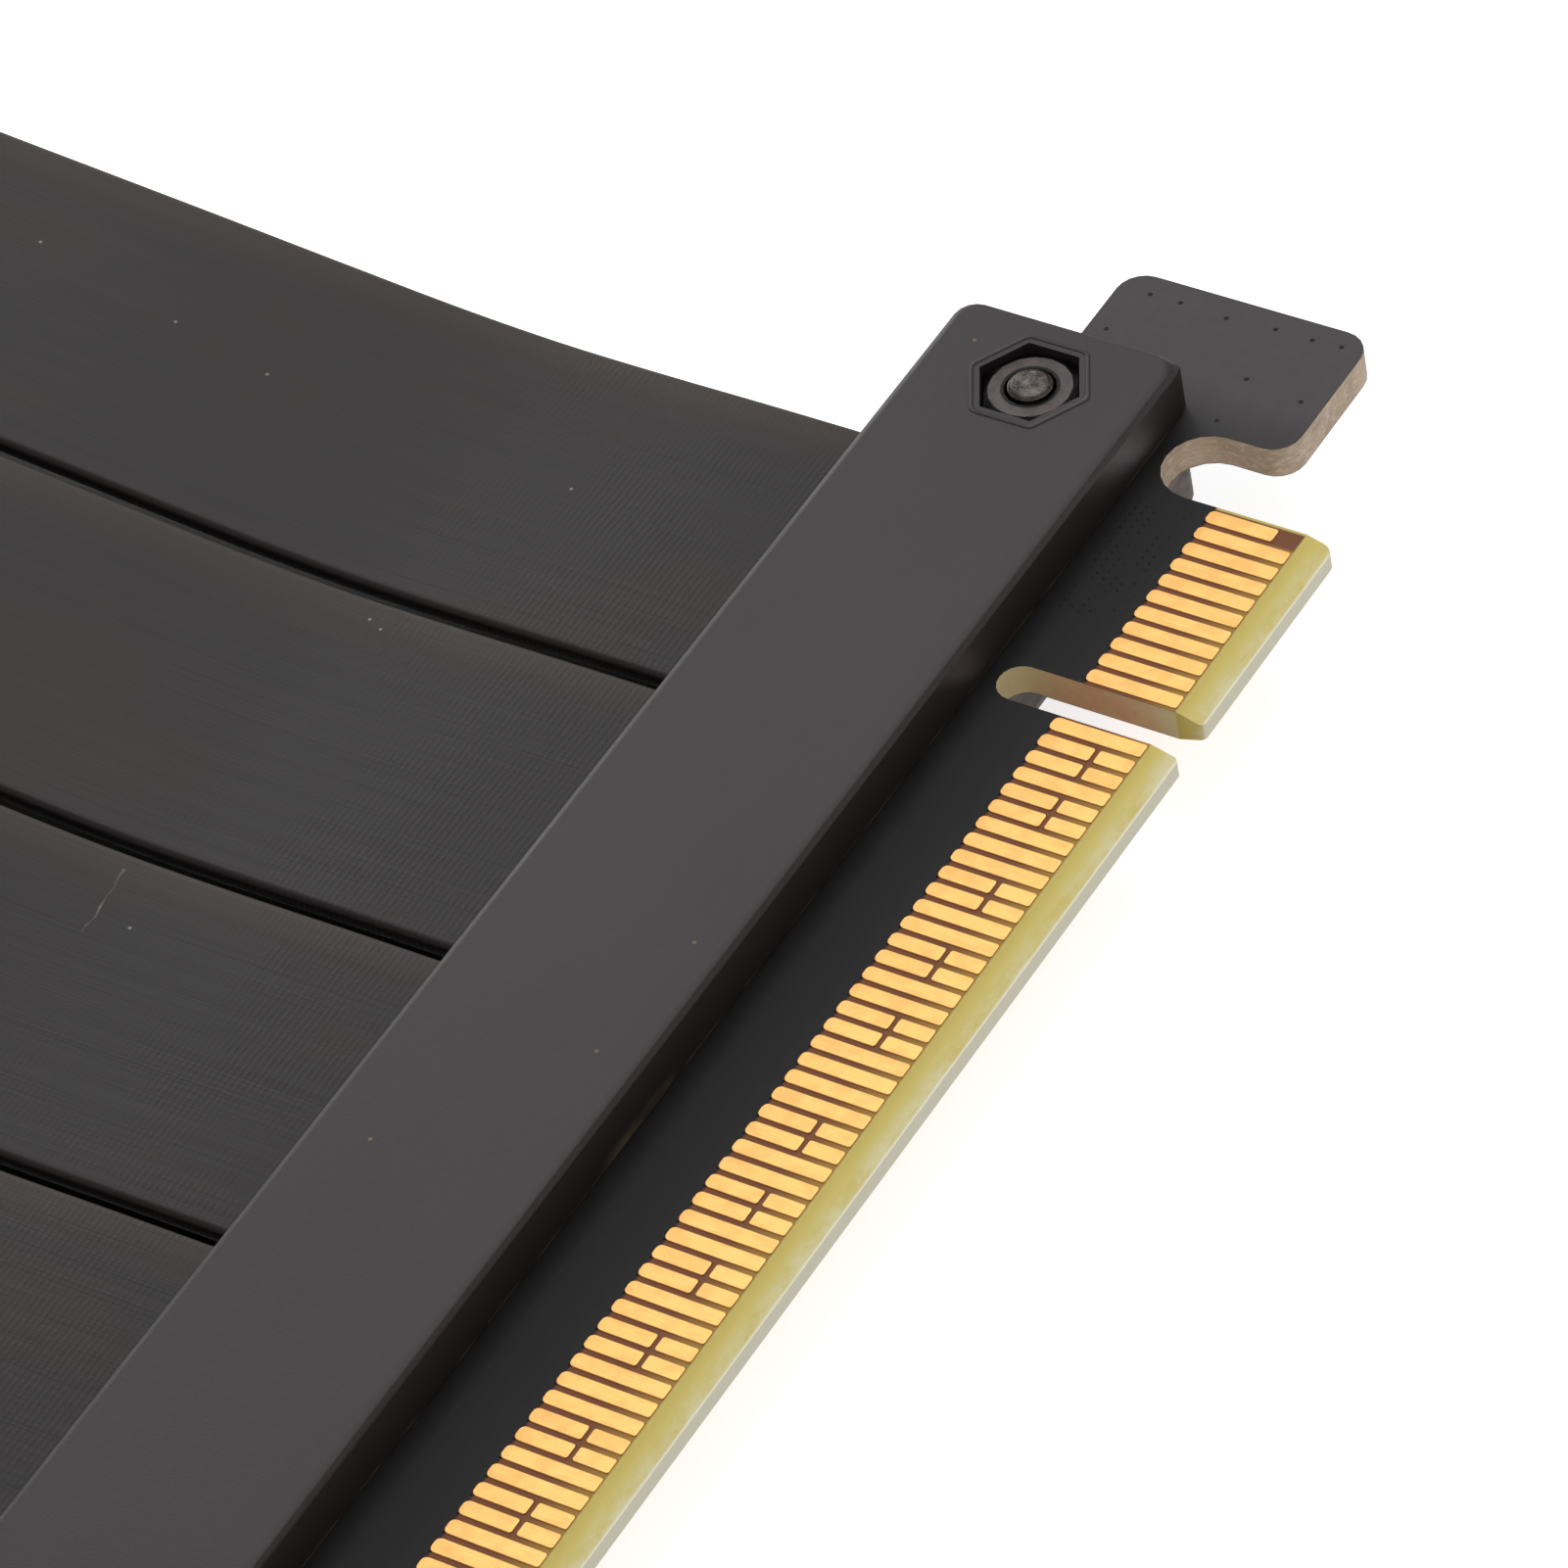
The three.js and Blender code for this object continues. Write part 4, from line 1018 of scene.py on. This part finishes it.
class RISER_OT_hardware(bpy.types.Operator):
    """Builds the nuts and screws that clamp the housings"""
    bl_idname = "riser.hardware"
    bl_label = "Screws and Nuts"

    def execute(self, context):
        nut = nut_finish("nut_steel", linear(86, 79, 80), linear(12, 11, 11))
        steel = metal_finish("screw_steel", linear(96, 90, 86), linear(14, 12, 12), 0.26, 0.00003)
        rng = np.random.default_rng(11)
        for end, x in (("plug", PLUG_X + SCREW_X), ("socket", SOCKET_X - SCREW_X)):
            for i, y in ((1, SCREW_Y), (2, -SCREW_Y)):
                softened(f"{end}_nut_{i}", 0.00006, nut, 2, turned_hexagons)
                softened(f"{end}_screw_{i}", 0.00005, steel, 2)
                place = y if end == "plug" else -y
                screw_tip(f"{end}_screw_tip_{i}", x, place, steel, rng)
        return {"FINISHED"}


class RISER_OT_stage(bpy.types.Operator):
    """Sets the camera, the floor, the sky and the soft lamps"""
    bl_idname = "riser.stage"
    bl_label = "Stage"

    def execute(self, context):
        sizes = context.scene.riser_stage
        self.camera(context)
        self.floor(context, sizes)
        self.sky(context, sizes)
        for name, place, size, share in LAMPS:
            self.lamp(context, name, place, size, share * sizes.key)
        context.scene.view_settings.view_transform = "Standard"
        return {"FINISHED"}

    def camera(self, context):
        data = bpy.data.cameras.new("camera")
        data.lens = CAMERA_LENS
        data.sensor_width = SENSOR_WIDTH
        data.sensor_fit = "HORIZONTAL"
        data.clip_start = 0.01
        data.clip_end = 20.0
        camera = bpy.data.objects.new("camera", data)
        axes = Matrix((CAMERA_RIGHT, CAMERA_UP, CAMERA_BACK)).transposed().to_4x4()
        camera.matrix_world = Matrix.Translation(CAMERA_PLACE) @ axes
        context.scene.collection.objects.link(camera)
        context.scene.camera = camera

    def floor(self, context, sizes):
        f = Finish("studio_floor")
        f.finish(sizes.floor, 0.9, Specular_IOR_Level=0.1)
        rays = [f.node("ShaderNodeLightPath", output=name) for name in
                ("Is Camera Ray", "Is Glossy Ray", "Is Transmission Ray")]
        seen = rays[0].most(rays[1]).most(rays[2])
        glow = f.node("ShaderNodeEmission", None, {"Color": WHITE, "Strength": seen * sizes.lift})
        both = f.node("ShaderNodeAddShader", None, {0: f.surface, 1: glow})
        f.feed(f.output.inputs["Surface"], both)
        mesh = bpy.data.meshes.new("studio_floor")
        corners = [(side * FLOOR_REACH, end * FLOOR_REACH, -FLOOR_DROP) for side, end in
                   ((-1, -1), (1, -1), (1, 1), (-1, 1))]
        mesh.from_pydata(corners, [], [(0, 1, 2, 3)])
        mesh.materials.append(f.material)
        floor = bpy.data.objects.new("studio_floor", mesh)
        context.scene.collection.objects.link(floor)

    def sky(self, context, sizes):
        world = bpy.data.worlds.new("studio_sky")
        world.use_nodes = True
        tree = Tree(world.node_tree)
        camera = tree.node("ShaderNodeLightPath", output="Is Camera Ray")
        seen = camera.most(tree.node("ShaderNodeLightPath", output="Is Transmission Ray"))
        strength = tree.node("ShaderNodeMapRange", None, {"Value": seen, "To Min": sizes.sky, "To Max": 1.0})
        light = tree.node("ShaderNodeBackground", None, {"Color": WHITE, "Strength": strength})
        tree.node("ShaderNodeOutputWorld", None, {"Surface": light}, None)
        context.scene.world = world

    def lamp(self, context, name, place, size, power):
        data = bpy.data.lights.new(name, "AREA")
        data.size = size
        data.energy = power
        lamp = bpy.data.objects.new(name, data)
        back = np.array(place) - (0.0, 0.0, 0.01)
        back /= np.linalg.norm(back)
        side = np.cross((0.0, 0.0, 1.0), back)
        side /= np.linalg.norm(side)
        up = np.cross(back, side)
        axes = Matrix((side, up, back)).transposed().to_4x4()
        lamp.matrix_world = Matrix.Translation(place) @ axes
        context.scene.collection.objects.link(lamp)


STEPS = (RISER_OT_stage, RISER_OT_ribbons, RISER_OT_housings, RISER_OT_boards, RISER_OT_contacts,
         RISER_OT_slot, RISER_OT_hardware)
GROUPS = {
    "riser_ribbons": RibbonSettings,
    "riser_contacts": ContactSettings,
    "riser_housings": HousingSettings,
    "riser_boards": BoardSettings,
    "riser_stage": StageSettings,
}


class RISER_PT_panel(bpy.types.Panel):
    """Lists the steps and sizes of the cable"""
    bl_label = "Riser Cable"
    bl_idname = "RISER_PT_panel"
    bl_space_type = "VIEW_3D"
    bl_region_type = "UI"
    bl_category = "Riser Cable"

    def draw(self, context):
        for step in STEPS:
            self.layout.operator(step.bl_idname)
        for name, group in GROUPS.items():
            box = self.layout.box()
            for key in group.__annotations__:
                box.prop(getattr(context.scene, name), key)


def register():
    for group in GROUPS.values():
        bpy.utils.register_class(group)
    for name, group in GROUPS.items():
        setattr(bpy.types.Scene, name, bpy.props.PointerProperty(type=group))
    for step in (*STEPS, RISER_PT_panel):
        bpy.utils.register_class(step)


def unregister():
    for step in reversed((*STEPS, RISER_PT_panel)):
        bpy.utils.unregister_class(step)
    for name in GROUPS:
        delattr(bpy.types.Scene, name)
    for group in reversed(list(GROUPS.values())):
        bpy.utils.unregister_class(group)


def main():
    register()
    bpy.ops.riser.stage()
    bpy.ops.riser.ribbons()
    bpy.ops.riser.housings()
    bpy.ops.riser.boards()
    bpy.ops.riser.contacts()
    bpy.ops.riser.slot()
    bpy.ops.riser.hardware()
    bpy.context.view_layer.update()


if __name__ == "__main__":
    main()
